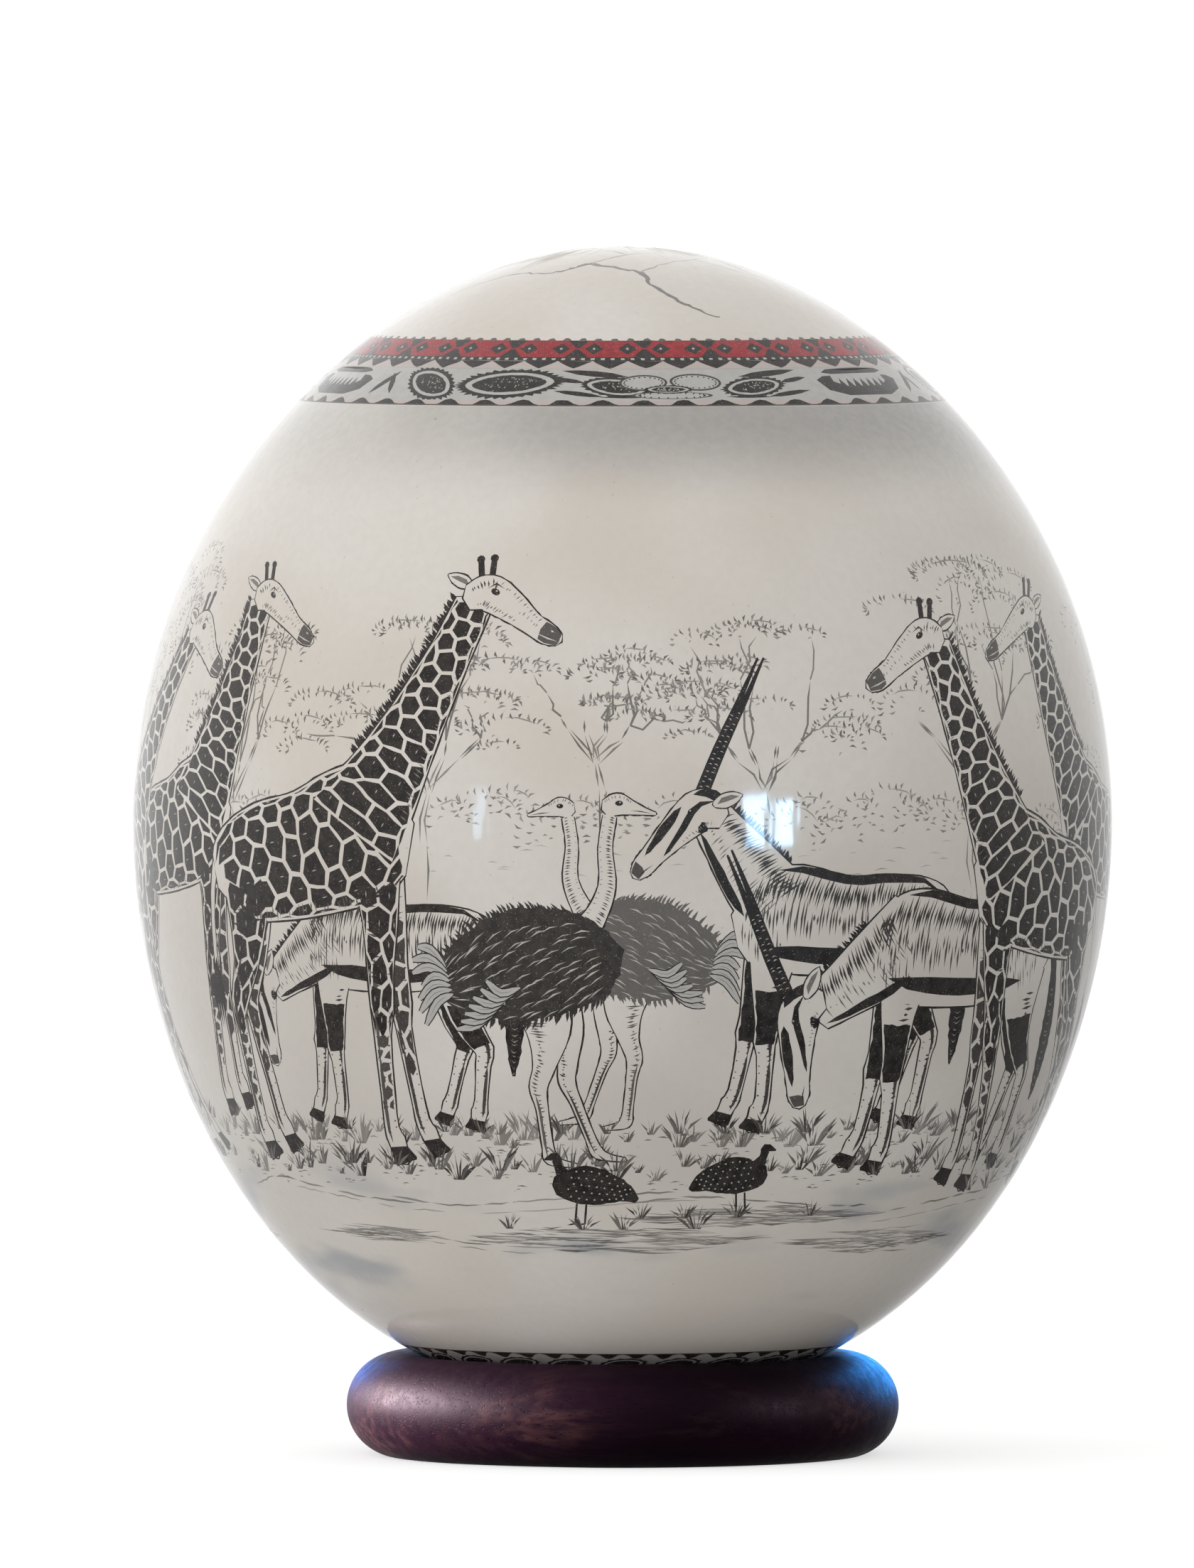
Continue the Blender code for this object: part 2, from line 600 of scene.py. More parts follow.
def speckled_pod(pen, x, y, wide, high, tilt, spikes=34, specks=26):
    """A pointed oval: jagged dark rim, white ring and speckled dark heart."""
    rim = np.array(ellipse(x, y, wide, high, spikes * 2, tilt, 1.25))
    middle = np.array([x, y])
    jagged = []
    for index, corner in enumerate(rim):
        reach = 1.0 + (0.1 if index % 2 else -0.02) * pen.vary(0.5, 1.5)
        jagged.append(middle + (corner - middle) * reach)
    pen.paint(jagged, INK)
    pen.paint(ellipse(x, y, wide * 0.86, high * 0.8, 24, tilt, 1.2), WHITE)
    pen.paint(pen.rough(ellipse(x, y, wide * 0.72, high * 0.62, 20, tilt, 1.2), 0.5, 0.05), INK)
    for _ in range(specks):
        angle, reach = pen.vary(0, TURN), math.sqrt(pen.vary(0, 0.8))
        across = wide * 0.33 * reach * math.cos(angle)
        rise = high * 0.27 * reach * math.sin(angle)
        place_x = x + across * math.cos(tilt) - rise * math.sin(tilt)
        place_y = y + across * math.sin(tilt) + rise * math.cos(tilt)
        pen.dash(place_x, place_y, pen.vary(0, math.pi), pen.vary(0.2, 0.5), 0.16, (0.25, 0, 0.6))


def beaded_oval(pen, x, y, wide, high, tilt=0.0):
    """A white oval with a line of beads round it."""
    pen.paint(ellipse(x, y, wide, high, 26, tilt), grey(0.95))
    pen.paint(ellipse(x, y, wide * 0.9, high * 0.82, 26, tilt), WHITE)
    for bead_x, bead_y in ellipse(x, y, wide * 0.8, high * 0.68, 22, tilt):
        pen.dot(bead_x, bead_y, 0.15, INK)


def blade(pen, foot, tip, wide, tone=INK):
    """A long pointed leaf."""
    foot, tip = np.array(foot, dtype=float), np.array(tip, dtype=float)
    middle = (foot + tip) / 2
    pen.stroke(pen.shaken([foot, (foot + middle) / 2, middle, (middle + tip) / 2, tip], 0.05), wide, tone)


def leaf_group(pen, x, way):
    """A speckled pod between dark blades, all leaning one way."""
    speckled_pod(pen, x + way * 2.0, 2.5, 9.2, 3.5, -0.14 * way, 24)
    blade(pen, (x + way * 3.6, 4.4), (x - way * 5.4, 5.6), 1.1)
    blade(pen, (x - way * 2.2, 3.3), (x - way * 6.6, 4.2), 0.8)
    blade(pen, (x + way * 0.4, 0.7), (x - way * 6.4, 1.8), 0.8)
    blade(pen, (x + way * 6.6, 0.7), (x - way * 0.2, 0.6), 0.4)


def oval_group(pen, x):
    """Two beaded ovals over a dark leaf."""
    beaded_oval(pen, x - 3.6, 3.3, 6.4, 3.0, 0.05)
    beaded_oval(pen, x + 3.4, 3.4, 7.0, 3.2, -0.05)
    beaded_oval(pen, x, 0.95, 11.0, 1.3)
    speckled_pod(pen, x - 0.4, 2.05, 6.4, 1.5, 0.0, 20)


POT_LID = ((-6.6, 5.0), (-5.4, 5.6), (5.2, 5.7), (6.4, 5.2), (4.8, 4.8), (-5.0, 4.7))
POT_BOWL = (
    (-8.4, 3.6), (-6.9, 4.3), (-5.4, 4.4), (-5.6, 3.3), (-3.9, 2.4), (3.9, 2.4), (5.6, 3.3),
    (5.4, 4.4), (6.9, 4.3), (8.4, 3.6), (7.5, 1.7), (4.5, 0.7), (-4.5, 0.7), (-7.5, 1.7),
)
POT_TEETH = 7


def lidded_pot(pen, x):
    """A wide bowl with a toothed inside and a flat lid over it."""
    for part in (POT_LID, POT_BOWL):
        pen.paint([(x + across, rise) for across, rise in part], INK)
    for index in range(POT_TEETH):
        left = x - 4.9 + index * 1.42
        pen.paint([(left, 2.2), (left + 0.68, 3.9), (left + 1.36, 2.2)], INK)


BORDER_START = -39
BORDER_PARTS = 3


def border_motifs(sheet):
    """The border's shapes, in the same order in each part of a turn."""
    for index in range(BORDER_PARTS):
        azimuth = BORDER_START + index * 360 / BORDER_PARTS

        def pen(step):
            return Pen(sheet, azimuth + step, BORDER_FOOT, 1.0, 1, BORDER_SEED + index)

        speckled_pod(pen(0), 0.0, 3.0, 9.2, 5.1, -0.42, 28)
        speckled_pod(pen(17), 0.0, 3.1, 14.6, 5.2, 0.06, 38, 34)
        leaf_group(pen(35), 0.0, 1)
        oval_group(pen(48), 0.0)
        leaf_group(pen(67), 0.0, -1)
        lidded_pot(pen(91), 0.0)
        blade(pen(108), (-2.0, 0.9), (1.4, 5.3), 1.1)
        blade(pen(108), (2.4, 1.0), (0.2, 5.0), 0.9)


def draw_bands(sheet):
    red_band(sheet, DOT_ROW_TOP, CAP_EDGE)
    stitched_row(sheet, DOT_ROW_FOOT, DOT_ROW_TOP)
    band_strip(sheet, BORDER_FOOT, WEDGE_FOOT + 0.3, WHITE)
    wedge_row(sheet, DOT_ROW_FOOT, WEDGE_FOOT, 0.14)
    band_strip(sheet, WEDGE_FOOT - 0.18, WEDGE_FOOT, grey(0.4))
    border_motifs(sheet)
    band_strip(sheet, MOUND_FOOT, BORDER_FOOT, PINK)
    mound_row(sheet, MOUND_FOOT + 0.1, BORDER_FOOT + 0.2)
    band_strip(sheet, MOUND_FOOT, MOUND_FOOT + 0.22, grey(0.9))

    top = LOWER_BAND_TOP
    band_strip(sheet, top - 0.25, top, grey(0.9))
    band_strip(sheet, top - LOWER_BORDER_DEPTH, top - 0.25, WHITE)
    mound_row(sheet, top - 0.2, top - 1.5)
    wedge_row(sheet, top - LOWER_BORDER_DEPTH, top - 4.8, 0.3)
    stitched_row(sheet, top - LOWER_STITCH_DEPTH, top - LOWER_BORDER_DEPTH)
    red_band(sheet, top - LOWER_RED_DEPTH, top - LOWER_STITCH_DEPTH, -1)
    for index in range(LOWER_PODS):
        pen = Pen(sheet, index * 360 / LOWER_PODS, top - 5.0, 0.8, 1, index)
        speckled_pod(pen, 0.0, 2.4, 8.0, 4.0, 0.2, 14, 6)


# The cap

# Bare twigs over the cap, seen from above: x and y from the egg's axis, and the line's width.
CAP_TWIGS = (
    ((-22.6, -9.6, 0.1), (-14.2, -11.9, 0.4), (-10.6, -14.8, 0.3), (-7.4, -15.3, 0.6), (-4.2, -13.8, 0.9)),
    ((-4.2, -13.8, 0.8), (-0.6, -16.3, 0.7), (2.3, -17.6, 0.8), (3.7, -20.9, 0.7), (6.2, -23.6, 0.6),
     (9.4, -25.7, 0.5), (12.9, -26.5, 0.2)),
    ((-4.2, -13.8, 0.4), (0.8, -10.1, 0.3), (2.6, -8.8, 0.1)),
    ((2.3, -17.6, 0.4), (5.5, -13.4, 0.3), (9.5, -8.7, 0.2), (12.0, -3.0, 0.1)),
    ((9.5, -8.7, 0.3), (14.8, -9.0, 0.2), (19.0, -7.0, 0.1)),
    ((0.8, -10.1, 0.3), (-4.0, -3.5, 0.4), (-3.0, 3.5, 0.5), (-6.5, 9.0, 0.6), (-5.0, 15.0, 0.5),
     (-9.0, 21.0, 0.2)),
    ((-3.0, 3.5, 0.4), (3.0, 7.5, 0.5), (9.0, 8.0, 0.5), (13.0, 13.0, 0.4), (19.0, 15.0, 0.1)),
    ((9.0, 8.0, 0.3), (16.0, 4.0, 0.3), (24.0, 5.5, 0.1)),
    ((-6.5, 9.0, 0.4), (-13.0, 10.0, 0.4), (-17.0, 15.5, 0.3), (-22.0, 16.0, 0.1)),
    ((-4.0, -3.5, 0.3), (-11.0, -2.0, 0.4), (-16.5, 2.0, 0.3), (-24.0, 1.5, 0.1)),
)


def on_cap(points):
    """Points of the sheet for points of the cap seen from above."""
    points = np.asarray(points, dtype=float)
    widest = int(np.argmax(RADII))
    distance = np.hypot(points[:, 0], points[:, 1])
    up = np.interp(distance, RADII[widest:][::-1], DISTANCES[widest:][::-1])
    azimuth = np.unwrap(np.arctan2(points[:, 0], -points[:, 1]))
    return np.stack([azimuth * EGG_RADIUS, up], axis=1)


def draw_cap(sheet):
    draw = random.Random(CAP_SEED)
    for twig in CAP_TWIGS:
        curve = smooth_rows(twig, 5)
        spots = curve[:, :2] + [(draw.uniform(-0.25, 0.25), draw.uniform(-0.25, 0.25)) for _ in curve]
        widths = np.array([width * draw.uniform(0.5, 1.2) for width in curve[:, 2]])
        side = to_the_left(directions(spots)) * (widths / 2)[:, None]
        outline = np.concatenate([spots + side, (spots - side)[::-1]])
        sheet.paint(on_cap(outline), grey(0.35 + 0.5 * min(1.0, float(np.max(curve[:, 2])))))


# Plants and ground

# The sides that are seen first are drawn more densely than the back.
FRONT_DEGREES = 80
LEAFY_AZIMUTH = math.radians(84)
LEAVES_IN_FRONT = 1.55
LEAVES_BEHIND = 1.1
# How far a figure on the front leans towards upright for a viewer there, from 0 to 1.
FRONT_LEAN = 0.5


def puff(pen, x, y, wide, high, tone):
    """A clump of leaves: rows of short dashes that stand on an arc, and a few loose ones inside."""
    density = LEAVES_IN_FRONT if abs(pen.azimuth) < LEAFY_AZIMUTH else LEAVES_BEHIND
    for reach, share in ((1.0, 1.0), (0.64, 0.64)):
        turns = max(5, round(wide * density * reach))
        skip = pen.vary(0, 1) * turns
        for index in range(turns):
            if share < 1 and abs(index - skip) > turns * 0.35:
                continue
            angle = math.pi * (-0.06 + 1.12 * (index + pen.vary(-0.25, 0.25)) / (turns - 1))
            leaf_x = x + wide / 2 * math.cos(angle) * reach * pen.vary(0.95, 1.05)
            leaf_y = y + high / 2 * math.sin(angle) * reach * pen.vary(0.92, 1.08)
            lean = math.atan2(math.sin(angle) * wide, math.cos(angle) * high) + pen.vary(-0.5, 0.5)
            shade = grey(tone * pen.random.choice((0.8, 0.95, 1.1)))
            pen.dash(leaf_x, leaf_y, lean, pen.vary(0.6, 1.35), pen.vary(0.26, 0.38), shade, 0.3)
    first = pen.vary(0.05, 0.45) * math.pi
    arc = [(x + wide * 0.44 * math.cos(first + turn), y + high * 0.42 * math.sin(first + turn))
           for turn in (0.0, 0.35, 0.7, 1.05)]
    pen.stroke(pen.shaken(arc, 0.12), 0.2, grey(tone * 0.8))
    for _ in range(round(wide * high * 0.05)):
        leaf_x, leaf_y = x + pen.vary(-0.4, 0.4) * wide, y + pen.vary(-0.2, 0.35) * high
        shade = grey(tone * pen.random.choice((0.65, 0.8, 0.95)))
        pen.dash(leaf_x, leaf_y, pen.vary(-0.6, 0.9), pen.vary(0.5, 1.1), 0.24, shade, 0.4)


def bough(pen, start, end, width, tone, wander=0.06, double=False):
    """A crooked branch, as one tapered line or as two broken ones."""
    start, end = np.array(start, dtype=float), np.array(end, dtype=float)
    reach = float(np.hypot(*(end - start)))
    count = max(4, round(reach / 3.0))
    points = pen.shaken([start + (end - start) * share for share in np.linspace(0, 1, count)], wander * 3)
    points[0], points[-1] = start, end
    if not double:
        pen.stroke(points, width, grey(tone), (0.9, 0.15))
        return
    side = to_the_left(directions(points)) * (np.linspace(1, 0.25, count) * width)[:, None]
    for way in (-1, 1):
        line = points + side * way
        for first in range(0, count - 1, 2):
            piece = pen.shaken(line[first : first + 3], 0.1)
            if len(piece) > 1 and pen.vary(0, 1) < 0.85:
                pen.stroke(piece, 0.3, grey(tone * pen.vary(0.8, 1.1)))


def acacia(pen, tall, wide, tone, puffs=16):
    """A spreading tree: crooked forked trunk and leaf clumps in uneven flat layers."""
    fork = np.array([pen.vary(-0.06, 0.06) * wide, tall * pen.vary(0.3, 0.42)])
    bough(pen, (0, 0), fork, 0.75, tone, 0.2, True)
    elbows = []
    for share in (-0.7, -0.25, 0.2, 0.65):
        elbow = fork + (share * wide * pen.vary(0.22, 0.32), tall * pen.vary(0.12, 0.24))
        bough(pen, fork, elbow, 0.42, tone, 0.2, True)
        elbows.append(elbow)
    for index in range(puffs):
        layer = (index % 4) / 3
        x = (pen.vary(-0.5, 0.5) + (index // 4 - 1.5) * 0.12) * wide * (0.9 - 0.3 * layer)
        droop = 0.14 * (2 * x / wide) ** 2
        y = tall * (0.62 + 0.3 * layer - droop + pen.vary(-0.03, 0.03))
        if index % 2:
            elbow = min(elbows, key=lambda spot: abs(spot[0] - x))
            bend = elbow + (np.array([x, y]) - elbow) * 0.55 + (pen.vary(-1.5, 1.5), pen.vary(-1, 1))
            bough(pen, elbow, bend, 0.3, tone, 0.25)
            bough(pen, bend, (x + pen.vary(-2, 2), y - 0.5), 0.24, tone * 0.9, 0.2)
        puff(pen, x, y, wide * pen.vary(0.2, 0.34), tall * pen.vary(0.07, 0.12), tone)


def thicket(pen, wide, tall, tone):
    """A low line of bushes."""
    x = -wide / 2
    while x < wide / 2:
        size = pen.vary(6, 10)
        puff(pen, x + size / 2, pen.vary(0, 0.5) * tall, size, pen.vary(0.6, 1.0) * tall, tone)
        x += size * 0.55


def tuft(pen, x, y, tall, blades, tone):
    """A fan of grass blades."""
    for index in range(blades):
        lean = (index + 0.5) / blades * 2 - 1 + pen.vary(-0.2, 0.2)
        height = tall * pen.vary(0.55, 1.0) * (1 - 0.3 * abs(lean))
        foot = x + lean * 0.25 * tall * 0.5
        middle = (foot + lean * 0.16 * tall, y + height * 0.6)
        tip = (foot + lean * 0.5 * tall, y + height)
        spear = [(foot - 0.13, y), middle, tip, (foot + 0.13, y)]
        pen.paint(spear, grey(tone * pen.random.choice((0.8, 0.9, 1.0))))


def scatter_dashes(pen, wide, low, high, count, length, tone):
    for _ in range(count):
        x, y = pen.vary(-wide / 2, wide / 2), pen.vary(low, high)
        shade = grey(tone * pen.vary(0.5, 1.0))
        pen.dash(x, y, pen.vary(-0.12, 0.12), pen.vary(*length), pen.vary(0.12, 0.22), shade, 0.15)


def broken_line(pen, points, width, tone, gap=0.25):
    """A long line of the ground, drawn in separate strokes."""
    curve = smooth_rows(points, 8)
    index = 0
    while index < len(curve) - 3:
        run = pen.random.randint(3, 7)
        piece = pen.shaken(curve[index : index + run + 1], 0.12)
        if len(piece) > 2:
            pen.stroke(piece, width * pen.vary(0.7, 1.2), grey(tone * pen.vary(0.7, 1.1)))
        index += run + (2 if pen.vary(0, 1) < gap else 0)


# Animals


def paint_forms(pen, forms, line):
    """Forms that share one contour: dark a little larger, then bare shell."""
    paint_pairs([(pen, form) for form in forms], line)


def paint_pairs(pairs, line=0.26):
    for pen, form in pairs:
        pen.paint(pen.shaken(form.outline(line), 0.07), INK)
    for pen, form in pairs:
        pen.paint(form.outline(), BARE)


def streak(pen, form, along, across, thick, tone=INK, shake=0.08):
    """A dark mark that runs along a form and narrows at both ends."""
    shares = np.linspace(0, 1, 9)
    places = along[0] + (along[1] - along[0]) * shares
    middle = across[0] + (across[1] - across[0]) * shares
    reach = thick / 2 * np.sin(math.pi * shares) ** 0.5
    edge = np.concatenate([form.at(places, middle + reach), form.at(places[::-1], (middle - reach)[::-1])])
    pen.paint(pen.shaken(edge, shake), tone)


def hatch(pen, form, along, across, spacing, width, tone, bulge=0.0, shake=0.2):
    """Curved strokes across part of a form. Along and across are its ranges."""
    count = max(1, round((along[1] - along[0]) * form.length / spacing))
    for index in range(count):
        place = along[0] + (along[1] - along[0]) * (index + pen.vary(0.2, 0.8)) / count
        spread = across[1] - across[0]
        low = across[0] + pen.vary(0, shake) * spread
        high = across[1] - pen.vary(0, shake) * spread
        shares = np.array([low, (low + high) / 2, high])
        places = np.clip(place + bulge * (1 - shares**2) / form.length, 0, 1)
        pen.stroke(form.at(places, shares), width * pen.vary(0.7, 1.2), tone)


def fringe(pen, form, along, side, length, spacing, width, tone, lean=0.6):
    """Short hairs that stand out from one side of a form."""
    count = max(1, round((along[1] - along[0]) * form.length / spacing))
    for index in range(count):
        place = along[0] + (along[1] - along[0]) * (index + pen.vary(0, 1)) / count
        reach = length * pen.vary(0.6, 1.15)
        foot, tip = form.at([place, place], [side * 0.92, side])
        outward = tip - foot
        outward /= max(1e-6, float(np.hypot(*outward)))
        forward = np.array([outward[1], -outward[0]]) * side
        end = tip + (outward + forward * lean * pen.vary(0.4, 1.4)) * reach
        pen.stroke([foot, (tip + end) / 2, end], width, tone, (0.8, 0.0))


def patchwork(pen, form, along, rows, columns, gap, tone):
    """Uneven dark patches in staggered rows, closer together towards the form's sides."""
    row_step = (along[1] - along[0]) / rows

    def place_of(row):
        return min(1.0, along[0] + row_step * row)

    nodes = {}
    for row in range(rows + 1):
        for half in range(2 * columns + 3):
            stagger = (0.17 if (row + half) % 2 else -0.17) + pen.vary(-0.13, 0.13)
            share = (half - 1) / (2 * columns) * 2 - 1 + pen.vary(-0.2, 0.2) / columns
            across = math.sin(math.pi / 2 * max(-1, min(1, share))) * 0.97
            place = min(1, max(0, along[0] + row_step * (row + stagger)))
            nodes[row, half] = form.at(place, across)
    for row in range(rows):
        for column in range(columns + row % 2):
            first = 2 * column + 1 - row % 2
            ring = [nodes[row, first + step] for step in (0, 1, 2)]
            ring += [nodes[row + 1, first + step] for step in (2, 1, 0)]
            ring = np.array(ring)
            middle = ring.mean(axis=0)
            reach = np.hypot(*(ring - middle).T)
            if reach.max() < 2.2 * gap:
                continue
            shrink = np.maximum(0.15, 1 - gap / np.maximum(reach, 1e-6))
            ring = middle + (ring - middle) * shrink[:, None]
            pen.paint(pen.rough(ring, 1.5, 0.1), tone)
            if reach.max() > 2.3:
                slit = (form.at(place_of(row), 0.0) - form.at(place_of(row + 1), 0.0)) * 0.14
                spot = middle + (ring[1] - middle) * pen.vary(-0.45, 0.35)
                pen.stroke([spot - slit, spot + slit], 0.2, grey(0.45))


def shifted(rows, top_x=0.0, foot_x=0.0, y=0.0, wide=1.0):
    """A leg's rows moved: the top and the foot by their own amounts."""
    top = rows[0][1]
    moved = []
    for x, height, left, right in rows:
        share = height / top
        moved_x = x + top_x * share + foot_x * (1 - share)
        moved.append((moved_x, height + y, left * wide, right * wide))
    return moved


def eye(pen, x, y, size, tilt=0.0):
    pen.paint(ellipse(x, y, size * 2.2, size * 1.5, 10, tilt), INK)
    pen.dot(x + size * 0.25, y + size * 0.2, size * 0.28, WHITE)


def ear(pen, foot, tip, wide):
    foot, tip = np.array(foot, dtype=float), np.array(tip, dtype=float)
    line = [foot, foot + (tip - foot) * 0.35, foot + (tip - foot) * 0.75, tip]
    rows = [(*point, wide * share, wide * share) for point, share in zip(line, (0.4, 1.0, 0.75, 0.05))]
    form = Form(rows)
    paint_forms(pen, [form], 0.2)
    pen.paint([*form.at([0.1, 0.35, 0.65, 0.9], [0.2] * 4), *form.at([0.65, 0.3], [-0.6] * 2)], grey(0.75))


def hooved_leg(pen, rows, shade, dark=None):
    """One leg with its hoof. The shade is the ink on its hind side, and dark is a range to blacken."""
    form = Form(rows, 2)
    paint_forms(pen, [form], 0.24)
    hatch(pen, form, (0.1, 0.9), (-0.95, 0.0), 0.82, 0.4, grey(shade), 0.5, 0.45)
    hatch(pen, form, (0.3, 0.9), (0.45, 0.95), 1.7, 0.26, grey(shade), 0.3, 0.4)
    streak(pen, form, (0.3, 0.64), (-0.45, -0.6), 0.42, grey(shade), 0.05)
    streak(pen, form, (0.62, 0.93), (-0.6, -0.5), 0.55, grey(shade), 0.04)
    if dark:
        places = np.linspace(*dark, 6)
        side = np.concatenate([form.at(places, np.full(6, 0.9)), form.at(places[::-1], np.full(6, -0.9))])
        pen.paint(pen.rough(side, 0.8, 0.14), INK)
    toe, heel = form.at(1.0, 1.0), form.at(1.0, -1.0)
    top = form.at([0.945, 0.955], [-1.15, 1.1])
    if toe[0] < heel[0]:
        toe, heel, top = heel, toe, top[::-1]
    hoof = [heel + (0.1, -0.5), heel + (-0.05, 0.1), *top, toe + (0.35, -0.1), toe + (0.3, -0.5)]
    pen.paint(hoof, INK)
    return form


GIRAFFE_BODY = (
    (-16.6, 38.6, 2.6, 3.4), (-14.2, 40.2, 6.2, 7.0), (-8, 41.6, 8.0, 8.0), (0, 43.0, 8.5, 8.6),
    (7, 45.0, 9.6, 9.2), (12, 46.4, 9.2, 9.0), (15.2, 47.0, 6.0, 6.6),
)
GIRAFFE_NECK = (
    (8.5, 46.0, 8.6, 7.4), (12.6, 52.4, 6.2, 6.0), (16.4, 59.0, 4.7, 4.5), (19.6, 65.4, 3.7, 3.5),
    (22.4, 71.8, 3.0, 2.9), (24.6, 77.4, 2.8, 2.6),
)
GIRAFFE_HEAD = (
    (23.6, 78.4, 1.7, 1.8), (26.4, 79.0, 2.6, 2.5), (29.6, 77.2, 2.2, 2.1), (32.8, 74.8, 1.5, 1.5),
    (35.2, 73.2, 1.45, 1.4), (36.8, 72.4, 0.8, 0.8),
)
GIRAFFE_FORELEG = (
    (12.0, 42, 3.6, 4.0), (12.3, 34, 2.6, 2.7), (12.0, 27, 1.9, 2.0), (11.8, 21.6, 1.75, 1.65),
    (11.6, 18.4, 1.25, 1.25), (11.5, 10, 1.0, 1.0), (11.4, 5, 1.05, 1.05), (11.8, 3.2, 1.4, 1.3),
    (12.2, 1.4, 1.2, 1.2), (12.7, 0.0, 1.7, 1.6),
)
GIRAFFE_HINDLEG = (
    (-11.6, 41, 5.2, 4.8), (-11.2, 34, 3.9, 3.8), (-12.2, 27.4, 2.4, 2.5), (-14.4, 22.2, 1.7, 1.8),
    (-14.4, 18.4, 1.25, 1.3), (-13.6, 10, 1.0, 1.05), (-13.4, 5, 1.05, 1.1), (-13.0, 3.2, 1.4, 1.35),
    (-12.5, 1.4, 1.2, 1.2), (-11.9, 0.0, 1.7, 1.6),
)
GIRAFFE_TAIL = (
    (-17.2, 43.6, 0.8, 0.8), (-18.8, 38, 0.45, 0.45), (-19.2, 31, 0.35, 0.35), (-19, 27, 0.4, 0.4),
)
# Where the neck turns, and where the head turns on it.
GIRAFFE_SHOULDER = (9.0, 47.0)
GIRAFFE_NAPE = (24.4, 78.0)


def giraffe_head(pen):
    ear(pen, (24.0, 80.0), (20.4, 81.6), 0.9)
    for foot, tip in (((25.4, 80.4), (24.8, 83.9)), ((26.7, 80.7), (26.7, 84.1))):
        pen.stroke([foot, tip], 0.9, INK, (0.9, 0.9))
        pen.dot(*tip, 0.6, INK, 8)
    head = Form(GIRAFFE_HEAD, 6)
    paint_forms(pen, [head], 0.22)
    hatch(pen, head, (0.04, 0.55), (-0.95, -0.35), 0.5, 0.2, grey(0.85), 0.5, 0.4)
    hatch(pen, head, (0.25, 0.78), (0.45, 0.97), 0.7, 0.18, grey(0.8), -0.4, 0.4)
    hatch(pen, head, (0.5, 0.8), (-0.3, 0.4), 0.7, 0.18, grey(0.75), 0.3, 0.5)
    hatch(pen, head, (0.02, 0.22), (0.1, 0.95), 0.4, 0.26, grey(0.95), 0.4, 0.5)
    muzzle = head.at([0.8, 0.9, 1.0, 1.0, 0.9, 0.83, 0.8], [0.95, 0.95, 0.95, -0.95, -0.95, -0.9, 0])
    pen.paint(pen.rough(muzzle, 0.6, 0.08), grey(0.88))
    pen.stroke(head.at([0.99, 0.9, 0.76], [-0.3, -0.35, -0.55]), 0.2, grey(0.1))
    pen.stroke(head.at([0.88, 0.92], [0.45, 0.5]), 0.26, grey(0.1))
    eye(pen, 27.4, 79.2, 0.62, -0.5)
    pen.stroke([(26.2, 79.6), (27.4, 80.4), (28.7, 79.6)], 0.28, INK)


def giraffe(pen, neck_turn=0.0, head_turn=0.0):
    """A giraffe in profile, facing +x, 84 mm tall."""
    for rows, foot_x in ((GIRAFFE_FORELEG, 5.5), (GIRAFFE_HINDLEG, 5.2)):
        far = hooved_leg(pen, shifted(rows, 0.6, foot_x, 1.3, 0.92), 0.95)
        hatch(pen, far, (0.0, 0.22), (-1, 1), 0.9, 0.5, grey(0.9), 0.3)
        patchwork(pen, far, (0.2, 0.72), 7, 1, 0.36, grey(0.95))
    paint_forms(pen, [Form(GIRAFFE_TAIL)], 0.2)
    for lean in (-1.2, -0.5, 0.2, 0.9):
        pen.stroke([(-19.0, 28.5), (-19.1 + lean, 24), (-18.8 + lean * 0.6, 18.5)], 0.9, INK)
    neck_pen = pen.turned(*GIRAFFE_SHOULDER, neck_turn)
    head_pen = neck_pen.turned(*GIRAFFE_NAPE, head_turn)
    body, neck = Form(GIRAFFE_BODY, 5), Form(GIRAFFE_NECK, 4)
    fringe(neck_pen, neck, (0.25, 1.0), 1, 1.4, 0.34, 0.42, INK, 0.5)
    paint_pairs([(pen, body), (neck_pen, neck)])
    near_legs = [hooved_leg(pen, GIRAFFE_FORELEG, 0.9), hooved_leg(pen, GIRAFFE_HINDLEG, 0.9)]
    pen.paint(body.outline(-0.12), BARE)
    patchwork(pen, body, (0.03, 1.0), 10, 5, 0.34, INK)
    hatch(pen, body, (0.1, 0.9), (-1.0, -0.74), 0.6, 0.24, grey(0.85), 0.3, 0.5)
    neck_pen.paint([*neck.at(np.linspace(0.0, 1, 12), np.full(12, 0.94)),
                    *neck.at(np.linspace(1, 0.0, 12), np.full(12, -0.94))], BARE)
    patchwork(neck_pen, neck, (0.0, 1.0), 14, 3, 0.3, INK)
    hatch(neck_pen, neck, (0.15, 0.95), (-0.98, -0.6), 0.8, 0.18, grey(0.7), 0.3, 0.4)
    for leg in near_legs:
        patchwork(pen, leg, (0.06, 0.56), 6, 2, 0.3, INK)
        patchwork(pen, leg, (0.56, 0.82), 6, 1, 0.36, grey(0.92))
    giraffe_head(head_pen)


